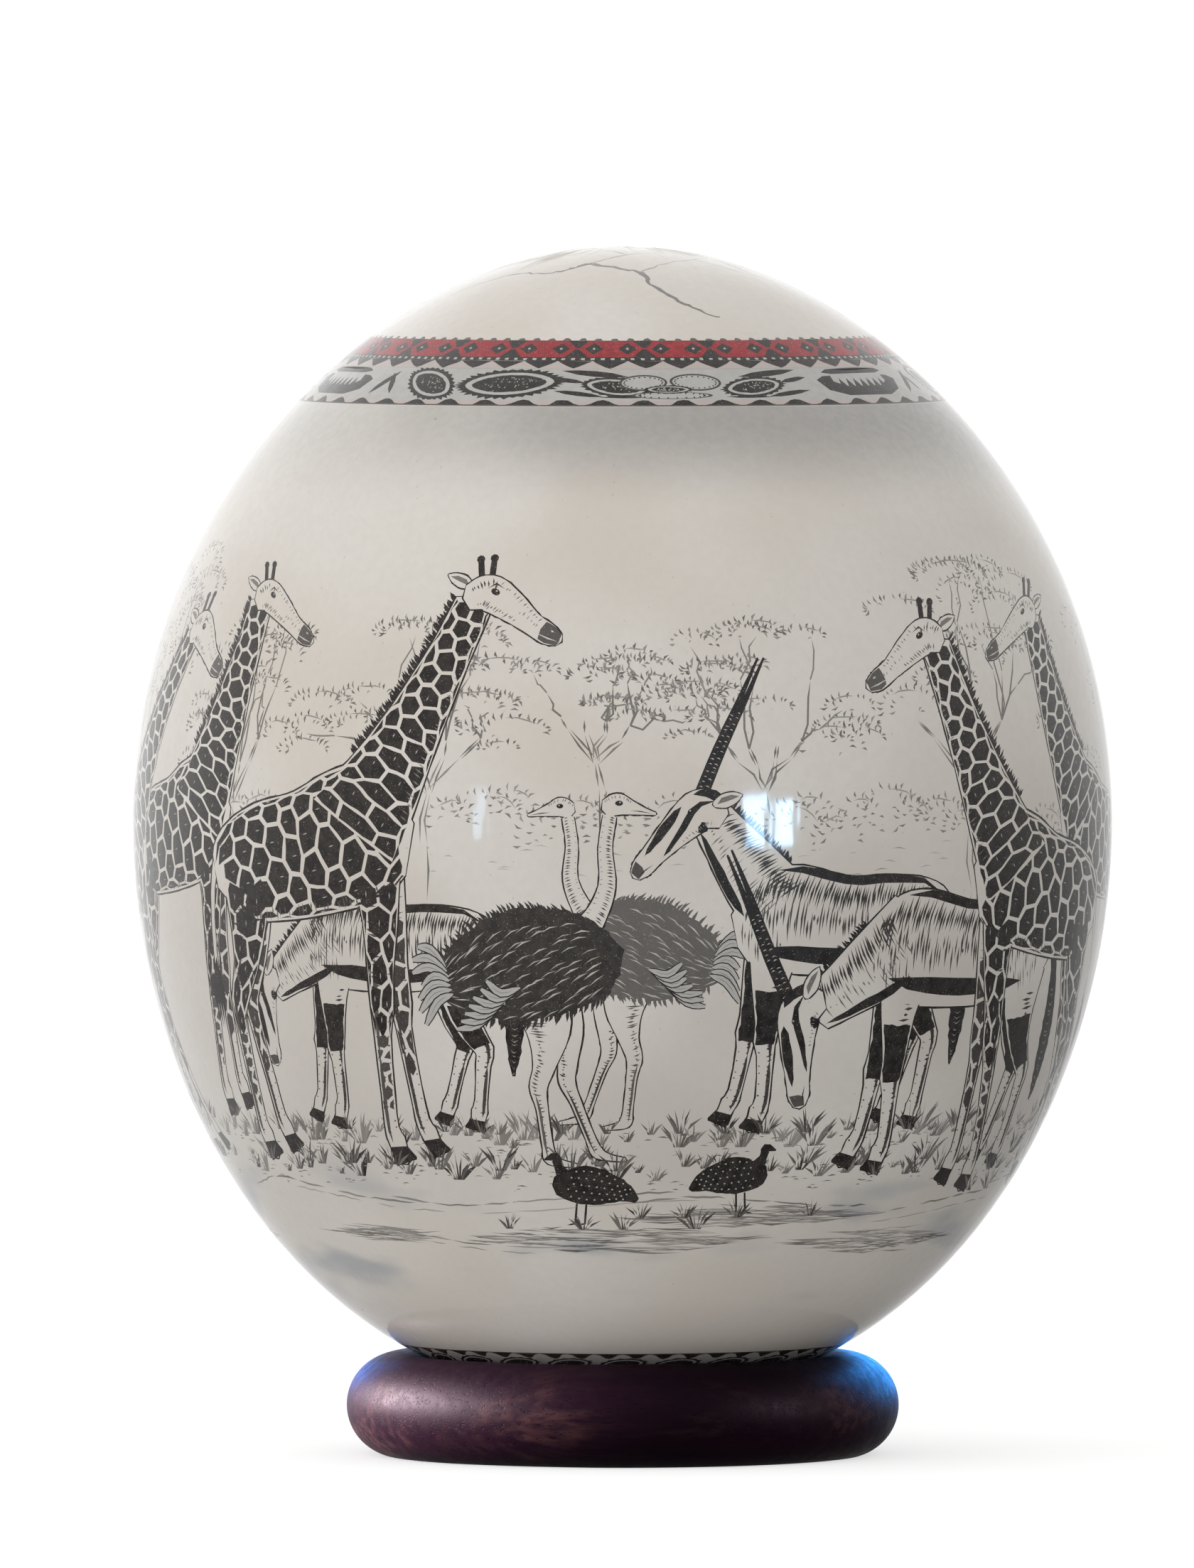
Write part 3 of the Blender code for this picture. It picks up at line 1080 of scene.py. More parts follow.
OSTRICH_BODY = (
    (-12.5, 25.5, 1.6, 1.6), (-9, 26.4, 4.8, 4.4), (-3, 27.6, 7.4, 6.6), (3.5, 28.6, 7.2, 6.4),
    (8.8, 29.6, 5.0, 5.0), (11.2, 30.2, 2.6, 2.8),
)
OSTRICH_NECK = (
    (5.6, 31.0, 2.6, 2.2), (8.6, 34.6, 1.5, 1.5), (10.4, 39.0, 1.1, 1.1), (10.2, 44.0, 0.9, 0.9),
    (10.8, 48.2, 0.9, 0.85),
)
OSTRICH_HEAD = (
    (10.2, 49.2, 1.1, 1.1), (11.8, 49.7, 1.45, 1.35), (13.4, 49.3, 1.0, 0.9), (15.2, 48.8, 0.5, 0.4),
    (16.8, 48.5, 0.15, 0.15),
)
OSTRICH_LEG = (
    (1.6, 24.0, 4.2, 4.0), (2.2, 19.0, 2.9, 2.6), (1.6, 14.6, 1.5, 1.4), (0.8, 11.6, 1.15, 1.15),
    (1.2, 8.4, 0.75, 0.75), (1.7, 3.2, 0.7, 0.7), (2.0, 1.2, 0.95, 0.85), (3.2, 0.5, 0.55, 0.5),
    (5.4, 0.1, 0.25, 0.25),
)


def plume(pen, start, sag, end, width):
    """One soft pale feather with a dark edge and a quill."""
    curve = smooth_rows([start, sag, end], 3)
    pen.stroke(curve, width + 0.36, INK, (0.3, 0.5))
    pen.stroke(curve, width, WHITE, (0.2, 0.4))
    pen.stroke(curve[1:-1], 0.14, grey(0.6))


def ostrich(pen, plumage=1.0):
    """An ostrich in profile, facing +x, 51 mm tall. A hen has less ink in its plumage."""
    for top_x, foot_x, y, shade in ((1.0, 6.5, 0.9, 0.95), (0.0, 0.0, 0.0, 0.85)):
        leg = Form(shifted(OSTRICH_LEG, top_x, foot_x, y, 1.0 - 0.08 * (y > 0)), 4)
        paint_forms(pen, [leg], 0.22)
        hatch(pen, leg, (0.02, 0.5), (-0.95, 0.1), 0.45, 0.28, grey(shade), 0.4, 0.5)
        hatch(pen, leg, (0.5, 0.85), (-0.9, 0.6), 0.6, 0.22, grey(0.9), 0.2, 0.4)
        streak(pen, leg, (0.5, 0.86), (-0.5, -0.4), 0.5, grey(shade), 0.04)
    neck, head = Form(OSTRICH_NECK, 5), Form(OSTRICH_HEAD, 5)
    paint_forms(pen, [neck, head], 0.2)
    hatch(pen, neck, (0.1, 1.0), (-0.95, 0.1), 0.42, 0.22, grey(0.9), 0.2)
    hatch(pen, neck, (0.0, 1.0), (0.5, 0.95), 0.9, 0.14, grey(0.7), 0.2)
    hatch(pen, head, (0.0, 0.5), (0.5, 1.0), 0.35, 0.14, grey(0.85), 0.1)
    pen.stroke(head.at([0.97, 0.7, 0.5], [-0.2, -0.2, -0.4]), 0.16, INK)
    eye(pen, 12.0, 49.9, 0.48)
    body = Form(OSTRICH_BODY, 4)
    dark = grey(0.97 * plumage)
    pen.paint(pen.rough(body.outline(0.35), 0.9, 0.25), dark)
    fringe(pen, body, (0.05, 0.95), 1, 1.4, 0.5, 0.4, dark, -0.8)
    fringe(pen, body, (0.05, 0.95), -1, 1.6, 0.5, 0.45, dark, -0.6)
    for row in range(8):
        for step in range(11):
            along = 0.08 + 0.86 * (step + pen.vary(0, 0.9)) / 11
            across = -0.88 + 1.68 * row / 7 + pen.vary(-0.1, 0.1)
            ends = np.clip([along, along - 0.05, along - 0.1], 0, 1)
            points = body.at(ends, np.array([0, -0.03, -0.12]) + across)
            pen.stroke(points, pen.vary(0.14, 0.26), grey(pen.vary(0.2, 0.5)))
    for index in range(7):
        start = body.at(0.34 + 0.02 * index, -0.66 + 0.05 * index)
        end = start + (-6.4 + 0.25 * index + pen.vary(-0.6, 0.6), -3.6 + 0.75 * index)
        plume(pen, start, (start + end) / 2 + (-0.3, -1.2), end, 1.0)
    for index in range(7):
        start = body.at(0.07, 0.7 - 0.2 * index)
        end = start + (-4.4 + pen.vary(-0.7, 0.7), 2.6 - 1.15 * index)
        plume(pen, start, (start + end) / 2 + (-0.2, 1.0), end, 1.1)


ORYX_BODY = (
    (-17.6, 30.4, 2.6, 3.4), (-15, 31.2, 6.0, 5.8), (-8, 31.2, 7.2, 6.8), (0, 31.0, 7.2, 7.2),
    (8, 31.8, 8.2, 7.8), (13.2, 32.2, 7.2, 7.4), (16.4, 32.6, 4.2, 4.6),
)
ORYX_NECK = ((9.5, 32.5, 5.6, 6.2), (14.6, 38.2, 5.2, 5.2), (18.6, 43.4, 4.0, 3.9), (21.0, 46.8, 3.2, 3.2))
ORYX_HEAD = (
    (19.6, 47.8, 2.2, 2.2), (22.8, 48.2, 3.0, 3.0), (26.4, 45.2, 2.4, 2.3), (29.6, 41.8, 1.75, 1.6),
    (31.4, 39.8, 1.5, 1.5), (32.4, 38.6, 0.8, 0.8),
)
ORYX_FORELEG = (
    (11.4, 29, 4.0, 4.2), (12.0, 22.6, 2.7, 2.7), (12.0, 16.4, 1.8, 1.8), (12.2, 13.8, 1.7, 1.65),
    (12.0, 11.6, 1.25, 1.25), (11.9, 5, 1.0, 1.05), (12.3, 3.1, 1.35, 1.3), (12.7, 1.5, 1.15, 1.15),
    (13.2, 0.0, 1.65, 1.55),
)
ORYX_HINDLEG = (
    (-12.8, 29, 5.0, 4.8), (-12.2, 22.6, 3.5, 3.5), (-13.6, 17.2, 2.1, 2.2), (-15.5, 14.0, 1.5, 1.7),
    (-15.2, 11.4, 1.2, 1.2), (-14.3, 5, 1.0, 1.05), (-13.9, 3.1, 1.35, 1.3), (-13.5, 1.5, 1.15, 1.15),
    (-13.0, 0.0, 1.65, 1.55),
)
ORYX_TAIL = (
    (-18.0, 34.4, 0.9, 0.9), (-20.2, 30, 0.7, 0.7), (-20.9, 25, 1.0, 1.0), (-21.0, 19, 1.5, 1.5),
    (-20.6, 13, 0.9, 0.9), (-20.2, 9.5, 0.1, 0.1),
)
ORYX_SHOULDER = (11.0, 33.5)
ORYX_NAPE = (20.6, 46.8)


def oryx_head(pen, head):
    for x, y in ((0.9, -0.2), (0.0, 0.0)):
        horn = Form([(22.4 + x, 50.2 + y, 0.6, 0.6), (19.4 + x, 57, 0.5, 0.5), (15.6 + x, 64.5, 0.34, 0.34),
                     (12.6 + x, 70.5, 0.08, 0.08)])
        pen.paint(horn.outline(0.08), INK)
        hatch(pen, horn, (0.05, 0.6), (-0.7, 0.7), 0.9, 0.15, grey(0.2), 0.2, 0.1)
    paint_forms(pen, [head], 0.22)
    streak(pen, head, (0.3, 0.82), (0.72, 0.55), 0.62)
    streak(pen, head, (0.1, 0.72), (0.45, -0.75), 0.42)
    streak(pen, head, (0.0, 0.2), (0.75, 0.85), 0.5)
    streak(pen, head, (0.18, 0.34), (-0.75, -0.9), 0.5)
    muzzle = head.at([0.9, 0.96, 1.0, 1.0, 0.92, 0.9], [0.9, 0.9, 0.9, -0.9, -0.5, 0.0])
    pen.paint(muzzle, grey(0.9))
    pen.stroke(head.at([0.98, 0.9, 0.82], [-0.45, -0.4, -0.6]), 0.18, INK)
    hatch(pen, head, (0.05, 0.5), (-0.95, -0.6), 0.6, 0.17, grey(0.7), 0.3, 0.4)
    ear(pen, (20.8, 49.0), (16.6, 50.4), 1.0)
    eye(pen, 24.2, 48.0, 0.55, -0.6)


def oryx(pen, neck_turn=0.0, head_turn=0.0):
    """A long-horned antelope in profile, facing +x, 71 mm tall with its horns."""
    for rows, foot_x in ((ORYX_FORELEG, 5.0), (ORYX_HINDLEG, 5.6)):
        hooved_leg(pen, shifted(rows, 0.6, foot_x, 1.2, 0.92), 0.95, (0.02, 0.56))
    tail = Form(ORYX_TAIL)
    pen.paint(pen.rough(tail.outline(0.15), 0.8, 0.15), INK)
    hatch(pen, tail, (0.3, 0.95), (-0.6, 0.6), 1.0, 0.14, grey(0.4), 1.5)
    neck_pen = pen.turned(*ORYX_SHOULDER, neck_turn)
    head_pen = neck_pen.turned(*ORYX_NAPE, head_turn)
    body, neck, head = Form(ORYX_BODY, 5), Form(ORYX_NECK, 4), Form(ORYX_HEAD, 6)
    fringe(neck_pen, neck, (0.3, 1.0), 1, 1.2, 0.36, 0.36, INK, 0.4)
    paint_pairs([(pen, body), (neck_pen, neck)])
    hooved_leg(pen, ORYX_FORELEG, 0.95, (0.26, 0.54))
    hooved_leg(pen, ORYX_HINDLEG, 0.95, (0.24, 0.5))
    pen.paint(body.outline(-0.2), BARE)
    neck_pen.paint([*neck.at(np.linspace(0.1, 1, 8), np.full(8, 0.92)),
                    *neck.at(np.linspace(1, 0.1, 8), np.full(8, -0.92))], BARE)
    hatch(pen, body, (0.05, 0.96), (0.2, 0.97), 0.46, 0.38, grey(0.95), 1.6, 0.35)
    hatch(pen, body, (0.05, 0.96), (-0.45, 0.5), 0.52, 0.36, grey(0.9), 1.0, 0.5)
    hatch(pen, body, (0.05, 0.3), (-0.95, 0.0), 0.6, 0.26, grey(0.85), 0.8, 0.5)
    hatch(pen, body, (0.8, 0.98), (-0.9, -0.1), 0.5, 0.26, grey(0.85), 0.8, 0.5)
    hatch(neck_pen, neck, (0.1, 1.0), (0.0, 0.97), 0.48, 0.36, grey(0.95), 1.0, 0.3)
    hatch(neck_pen, neck, (0.1, 1.0), (-0.8, 0.25), 0.7, 0.22, grey(0.8), 0.6, 0.5)
    streak(pen, body, (0.18, 0.92), (-0.66, -0.6), 0.34)
    streak(pen, body, (0.03, 0.86), (0.93, 0.93), 0.2)
    streak(neck_pen, neck, (0.25, 1.0), (-0.86, -0.8), 0.3)
    oryx_head(head_pen, head)


GUINEAFOWL_BODY = (
    (-6.5, 4.6, 0.4, 0.4), (-4, 6.2, 2.0, 2.0), (0, 7.0, 3.4, 3.2), (3.4, 7.6, 2.6, 2.8),
    (5, 8.4, 1.2, 1.4),
)
GUINEAFOWL_NECK = (
    (3.6, 8.2, 1.5, 1.5), (4.8, 10.4, 0.6, 0.6), (5.3, 12.0, 0.8, 0.7), (6.8, 11.6, 0.1, 0.1),
)


def guineafowl(pen):
    """A small dark bird with pale spots, facing +x, 13 mm tall."""
    for x in (0.8, 2.2):
        pen.stroke([(x, 4), (x + 0.3, 0.3)], 0.35, INK, (0.8, 0.8))
        pen.stroke([(x + 0.2, 0.3), (x + 1.6, 0.0)], 0.3, INK, (0.8, 0.0))
    body = Form(GUINEAFOWL_BODY)
    pen.paint(pen.rough(body.outline(0.1), 0.9, 0.1), INK)
    pen.paint(Form(GUINEAFOWL_NECK).outline(0.05), INK)
    for row in range(5):
        for step in range(8):
            place = body.at(0.14 + 0.74 * (step + 0.5 * (row % 2)) / 8, -0.75 + 1.5 * row / 4)
            pen.dot(float(place[0]), float(place[1]), 0.17, WHITE)


# The ground and the frieze


def ripples(pen, wide, tall, count, tone):
    """Fine level strokes of a pool, thickest along its middle."""
    for _ in range(count):
        y = tall * (pen.vary(0, 1) + pen.vary(0, 1)) / 2
        reach = wide * (0.5 - 0.35 * abs(2 * y / tall - 1))
        x = pen.vary(-reach, reach)
        long = pen.vary(2.5, 9.0)
        sink = pen.vary(-0.5, 0.5)
        line = [(x - long / 2, y + 0.2), (x, y + sink * 0.3), (x + long / 2, y + pen.vary(-0.2, 0.4))]
        pen.stroke(line, pen.vary(0.14, 0.3), grey(tone * pen.vary(0.5, 1.1)))


def meadow(pen, wide, tone, spread):
    """Grass tufts, pebbles and short strokes along one stretch of ground."""
    x = -wide / 2
    while x < wide / 2:
        y = pen.vary(-1.3, 1.4)
        tall = pen.vary(1.8, 4.2) + (pen.vary(1.0, 2.6) if pen.vary(0, 1) < 0.3 else 0.0)
        tuft(pen, x, y, tall, round(5 + tall * 1.1), tone * pen.vary(0.75, 1.1))
        x += pen.vary(1.6, 3.9) * spread
    scatter_dashes(pen, wide, -2.6, 1.0, round(wide * 1.1 / spread), (0.5, 1.8), tone)


def upright_pen(sheet, azimuth, height, seed):
    """A pen of true size at a height above the floor."""
    return Pen(sheet, azimuth, up_at(height), 1.0, 1, seed)


# Heights above the floor of the grass behind the animals and between them.
FAR_MEADOW = 44.5
NEAR_MEADOW = 40.0
MEADOW_PARTS = 12


def draw_ground(sheet):
    """Grass under the animals, broken lines of the banks, and pools in front."""
    for index in range(MEADOW_PARTS):
        azimuth = -180 + 360 // MEADOW_PARTS * index
        spread = 1.0 if abs(azimuth) < FRONT_DEGREES else 1.7
        meadow(upright_pen(sheet, azimuth, FAR_MEADOW, FAR_MEADOW_SEED + index), 33, 0.85, spread)
        meadow(upright_pen(sheet, azimuth + 12, NEAR_MEADOW, NEAR_MEADOW_SEED + index), 30, 0.95, spread)
    for index, (azimuth, height, long, rise) in enumerate(BANKS):
        pen = upright_pen(sheet, azimuth, height, BANK_SEED + index)
        half, quarter = long / 2, long / 4
        crest = [(-half, 0), (-quarter, rise), (0, rise * 0.3), (quarter, -rise * 0.6), (half, -rise)]
        broken_line(pen, crest, 0.3, 0.7)
        broken_line(pen, [(x + 3, y - 1.3) for x, y in crest[1:]], 0.22, 0.5)
    for index, (azimuth, height, wide, tall) in enumerate(POOLS):
        pen = upright_pen(sheet, azimuth, height, POOL_SEED + index)
        ripples(pen, wide, tall, round(wide * 3.4), 0.75)


# What stands where, from azimuth in degrees and height of the foot above the floor.
# Banks then have a length and a rise, pools, bushes and trees two sizes, and animals
# their scale, the way they face and how they are drawn.
BANKS = (
    (-50, 37, 34, 1.6), (-14, 36.5, 40, -1.2), (20, 36, 34, 1.0), (48, 35, 36, -1.4), (-34, 31, 26, 1.2),
    (90, 37, 40, 1.2), (130, 36, 36, -1.2), (170, 36, 40, 1.4), (210, 37, 36, -1.0), (250, 36, 38, 1.2),
)
POOLS = (
    (-2, 29.0, 40, 5.0), (20, 32.5, 34, 3.6), (46, 28.5, 30, 4.5), (-42, 30.0, 18, 3.0),
    (110, 28.0, 40, 5.0), (190, 28.5, 46, 6.0), (265, 28.0, 30, 4.5),
)
BUSHES = (
    (-78, 80, 20, 8), (-45, 82, 30, 9), (-8, 84, 34, 9), (28, 84, 30, 8), (66, 80, 26, 9),
    (105, 82, 34, 8), (145, 80, 30, 9), (182, 84, 30, 8), (222, 82, 30, 9), (258, 80, 22, 8),
)
TREES = (
    (-76, 66, 58, 34), (-51, 74, 42, 28), (-24, 76, 38, 36), (-2, 84, 26, 26), (17, 80, 34, 30),
    (45, 70, 55, 44), (92, 70, 50, 40),
    (130, 76, 38, 34), (168, 68, 56, 42), (206, 76, 36, 30), (244, 70, 50, 40),
)
ANIMALS = (
    (giraffe, -66, 47.0, 0.88, 1, (4, -6)), (ostrich, 2, 46.0, 0.88, -1, (0.85,)),
    (oryx, 27, 46.0, 0.9, -1, ()), (giraffe, 76, 46.0, 0.88, -1, (-3, 4)),
    (oryx, -28, 46.0, 0.8, -1, (-86, 36)),
    (giraffe, -40, 41.5, 0.98, 1, ()), (ostrich, -11, 41.0, 1.0, 1, ()),
    (oryx, 45, 40.0, 0.98, -1, (-88, 38)), (giraffe, 60, 37.0, 0.96, -1, (2, -4)),
    (guineafowl, -4, 33.0, 0.9, -1, ()), (guineafowl, 14, 34.5, 0.85, 1, ()),
    (oryx, 102, 45.0, 0.9, 1, ()), (oryx, 126, 40.0, 1.0, 1, (-84, 34)), (giraffe, 152, 43.0, 0.94, -1, ()),
    (giraffe, 176, 38.0, 0.98, -1, (3, -5)), (ostrich, 204, 45.0, 0.9, 1, (0.85,)),
    (ostrich, 220, 40.0, 1.0, -1, ()), (guineafowl, 236, 35.0, 0.9, 1, ()),
    (oryx, 246, 42.0, 0.95, -1, ()), (giraffe, 270, 41.0, 0.92, 1, (-2, 3)),
)
TUFTS_AT_FEET = (-14, -6, 3, 12)


def draw_frieze(sheet):
    for index, (azimuth, foot, wide, tall) in enumerate(BUSHES):
        pen = upright_pen(sheet, azimuth, foot, BUSH_SEED + index)
        thicket(pen, wide, tall, 0.66)
        scatter_dashes(pen, wide, -5.0, -0.5, round(wide * 0.5), (1.0, 2.6), 0.5)
    for index, (azimuth, foot, tall, wide) in enumerate(TREES):
        acacia(upright_pen(sheet, azimuth, foot, TREE_SEED + index), tall, wide, 0.74)
    draw_ground(sheet)
    for index, (animal, azimuth, foot, scale, facing, pose) in enumerate(ANIMALS):
        lean = FRONT_LEAN if abs(azimuth) < FRONT_DEGREES else 0.0
        pen = Pen(sheet, azimuth, up_at(foot), scale, facing, ANIMAL_SEED + index, lean)
        animal(pen, *pose)
        for x in TUFTS_AT_FEET:
            tuft(pen, x + pen.vary(-2, 2), -0.8, pen.vary(3, 5.5), 9, 0.95)


def draw_print(sheet):
    draw_frieze(sheet)
    draw_bands(sheet)
    draw_cap(sheet)


# Materials


def new_tree(name):
    material = bpy.data.materials.new(name)
    material.use_nodes = True
    tree = material.node_tree
    return material, tree, tree.nodes["Principled BSDF"]


def feed(tree, made, values):
    """Links a node's inputs to sockets, or sets them."""
    for key, value in values.items():
        if isinstance(value, bpy.types.NodeSocket):
            tree.links.new(value, made.inputs[key])
        else:
            made.inputs[key].default_value = value


def node(tree, kind, values=None, **settings):
    """A new node with its settings and its inputs."""
    made = tree.nodes.new("ShaderNode" + kind)
    for key, value in settings.items():
        setattr(made, key, value)
    feed(tree, made, values or {})
    return made


def maths(tree, operation, first, second):
    return node(tree, "Math", {0: first, 1: second}, operation=operation).outputs[0]


def ramp(tree, value, low, high, to_low=0.0, to_high=1.0, smooth=True):
    kind = "SMOOTHSTEP" if smooth else "LINEAR"
    links = {"Value": value, "From Min": low, "From Max": high, "To Min": to_low, "To Max": to_high}
    return node(tree, "MapRange", links, interpolation_type=kind, clamp=True).outputs["Result"]


def blend_colours(tree, factor, first, second):
    return node(tree, "Mix", {0: factor, 6: first, 7: second}, data_type="RGBA").outputs[2]


def rgb(red, green, blue):
    """A linear colour from display values of 0 to 255."""
    linear = []
    for value in (red, green, blue):
        share = value / 255
        linear.append(share / 12.92 if share <= 0.04045 else ((share + 0.055) / 1.055) ** 2.4)
    return (*linear, 1.0)


SHELL_LIGHT = rgb(198, 193, 186)
SHELL_WARM = rgb(190, 183, 174)
SHELL_DULL = rgb(178, 172, 165)
BORDER_BAND_GREY = rgb(136, 134, 132)
WASH_BLUE = rgb(132, 138, 146)
PORE_COLOUR = rgb(140, 130, 118)
RUST_COLOUR = rgb(122, 82, 52)
WHITE_GROUND = rgb(162, 160, 156)
WHITE_SOILED = rgb(150, 148, 145)
RED_DEEP = rgb(124, 22, 28)
RED_LIGHT = rgb(146, 38, 43)
INK_DEEP = rgb(29, 25, 22)
INK_WORN = rgb(48, 43, 40)
WOOD_DARK = rgb(11, 3, 9)
WOOD_BROWN = rgb(20, 9, 12)
WOOD_WORN = rgb(42, 28, 27)
# Dark pores in the wood, and also the painted shade on the ring's crown.
WOOD_PORE_AND_SHADE = rgb(6, 2, 5)


def noise(tree, vector, scale, detail=2.0, roughness=0.5):
    links = {"Vector": vector, "Scale": scale, "Detail": detail, "Roughness": roughness}
    return node(tree, "TexNoise", links).outputs["Fac"]


def stretched(tree, vector, scale):
    return node(tree, "VectorMath", {0: vector, 1: scale}, operation="MULTIPLY").outputs[0]


def multiplied(tree, *values):
    result = values[0]
    for value in values[1:]:
        result = maths(tree, "MULTIPLY", result, value)
    return result


def bump(tree, height, strength, distance):
    values = {"Height": height, "Strength": strength, "Distance": distance}
    return node(tree, "Bump", values).outputs["Normal"]


def place_in_mm(tree):
    place = node(tree, "TexCoord").outputs["Object"]
    return stretched(tree, place, (1000, 1000, 1000))


def specks(tree, vector, spacing, low, high, share):
    """Round spots of uneven size in some cells of a grid of this spacing."""
    links = {"Vector": vector, "Scale": 1 / spacing, "Randomness": 1.0}
    cells = node(tree, "TexVoronoi", links)
    chance = node(tree, "SeparateColor", {"Color": cells.outputs["Color"]}).outputs[0]
    spot = ramp(tree, cells.outputs["Distance"], low, high, 1.0, 0.0)
    return maths(tree, "MULTIPLY", spot, maths(tree, "LESS_THAN", chance, share))


def zone(tree, height, foot, foot_full, top_full, top):
    """A mask that fades in and out with height."""
    rising = ramp(tree, height, foot, foot_full)
    falling = ramp(tree, height, top_full, top, 1.0, 0.0)
    return maths(tree, "MULTIPLY", rising, falling)


# Heights above the floor where each grey or blue tone begins, is full, begins to end and has ended.
BORDER_GREY_BAND = (126.5, 139.0, 140.4, 140.8)
POOL_SMUDGES = (18, 27, 33, 44)
BANK_HAZE = (30, 42, 62, 100)


def shell_colour(tree, in_mm, mottle):
    """Bare shell: creamy clouds, fine mottling, pores, rusty specks, a grey band under the border and
    blue-grey smudges.
    """
    axes = node(tree, "SeparateXYZ", {"Vector": in_mm}).outputs
    across, height = axes[0], axes[2]
    cloud = noise(tree, in_mm, 0.035, 1.0)
    colour = blend_colours(tree, ramp(tree, cloud, 0.35, 0.68), SHELL_LIGHT, SHELL_WARM)
    colour = blend_colours(tree, maths(tree, "MULTIPLY", mottle, 0.16), colour, SHELL_DULL)

    # Grey band under the border, darkest against its foot and weaker to the left.
    reach = ramp(tree, maths(tree, "ADD", across, multiplied(tree, cloud, 40.0)), -22, 20, 0.42, 1.0)
    uneven = ramp(tree, mottle, 0.0, 1.0, 0.93, 1.0)
    grey_band = multiplied(tree, zone(tree, height, *BORDER_GREY_BAND), reach, uneven)
    colour = blend_colours(tree, multiplied(tree, grey_band, 0.8), colour, BORDER_BAND_GREY)

    # Blue-grey smudges over the pools and banks.
    flow = noise(tree, stretched(tree, in_mm, (1, 1, 3.2)), 0.045, 2.0)
    smudge = multiplied(tree, zone(tree, height, *POOL_SMUDGES), ramp(tree, flow, 0.5, 0.7))
    haze = multiplied(tree, zone(tree, height, *BANK_HAZE), ramp(tree, cloud, 0.2, 0.8, 0.02, 0.14))
    blue = maths(tree, "ADD", multiplied(tree, smudge, 0.62), haze)
    colour = blend_colours(tree, blue, colour, WASH_BLUE)

    # Pores, and a few rusty specks.
    pores = multiplied(tree, specks(tree, in_mm, 1.6, 0.05, 0.12, 0.3), 0.32)
    colour = blend_colours(tree, pores, colour, PORE_COLOUR)
    rust = multiplied(tree, specks(tree, in_mm, 9.0, 0.012, 0.035, 0.3), 0.8)
    return blend_colours(tree, rust, colour, RUST_COLOUR)


def printed_colour(tree, in_mm, channels, blotch):
    """The shell with its inks, which are mottled and have pinholes."""
    ink, red, white = channels
    shell = shell_colour(tree, in_mm, blotch)
    pinholes = ramp(tree, noise(tree, in_mm, 5.0, 1.0, 0.7), 0.64, 0.76)
    ground = blend_colours(tree, multiplied(tree, blotch, 0.5), WHITE_GROUND, WHITE_SOILED)
    colour = blend_colours(tree, multiplied(tree, white, 0.92), shell, ground)
    crimson = blend_colours(tree, blotch, RED_DEEP, RED_LIGHT)
    red_cover = multiplied(tree, red, ramp(tree, pinholes, 0.0, 1.0, 1.0, 0.62))
    colour = blend_colours(tree, red_cover, colour, crimson)
    black = blend_colours(tree, blotch, INK_DEEP, INK_WORN)
    cover = multiplied(tree, ink, ramp(tree, pinholes, 0.0, 1.0, 1.0, 0.68))
    return blend_colours(tree, cover, colour, black)


def shell_material():
    """Printed ostrich shell sealed under glossy lacquer."""
    material, tree, shader = new_tree("lacquered_shell_print")
    in_mm = place_in_mm(tree)
    tones = node(tree, "Attribute", attribute_name="print").outputs["Color"]
    channels = node(tree, "SeparateColor", {"Color": tones}).outputs
    blotch = ramp(tree, noise(tree, in_mm, 0.8, 2.0, 0.6), 0.3, 0.7)
    colour = printed_colour(tree, in_mm, channels[:3], blotch)
    pits = specks(tree, in_mm, 1.6, 0.04, 0.14, 0.45)
    relief = maths(tree, "SUBTRACT", multiplied(tree, channels[0], 0.3), pits)
    # The lacquer lies in slight vertical runs.
    runs = noise(tree, stretched(tree, in_mm, (1, 1, 0.35)), 0.4, 1.0)
    feed(tree, shader, {
        "Base Color": colour,
        "Roughness": ramp(tree, blotch, 0.0, 1.0, 0.52, 0.66),
        "Normal": bump(tree, relief, 0.25, 0.00003),
        "Specular IOR Level": 0.12,
        "Coat Weight": 1.0,
        "Coat Roughness": 0.07,
        "Coat IOR": 1.3,
        "Coat Normal": bump(tree, runs, 0.6, 0.00007),
    })
    return material


# Heights above the floor between which painted shade darkens the ring's crown.
CROWN_PAINTED_SHADE = (8.5, 12.5)


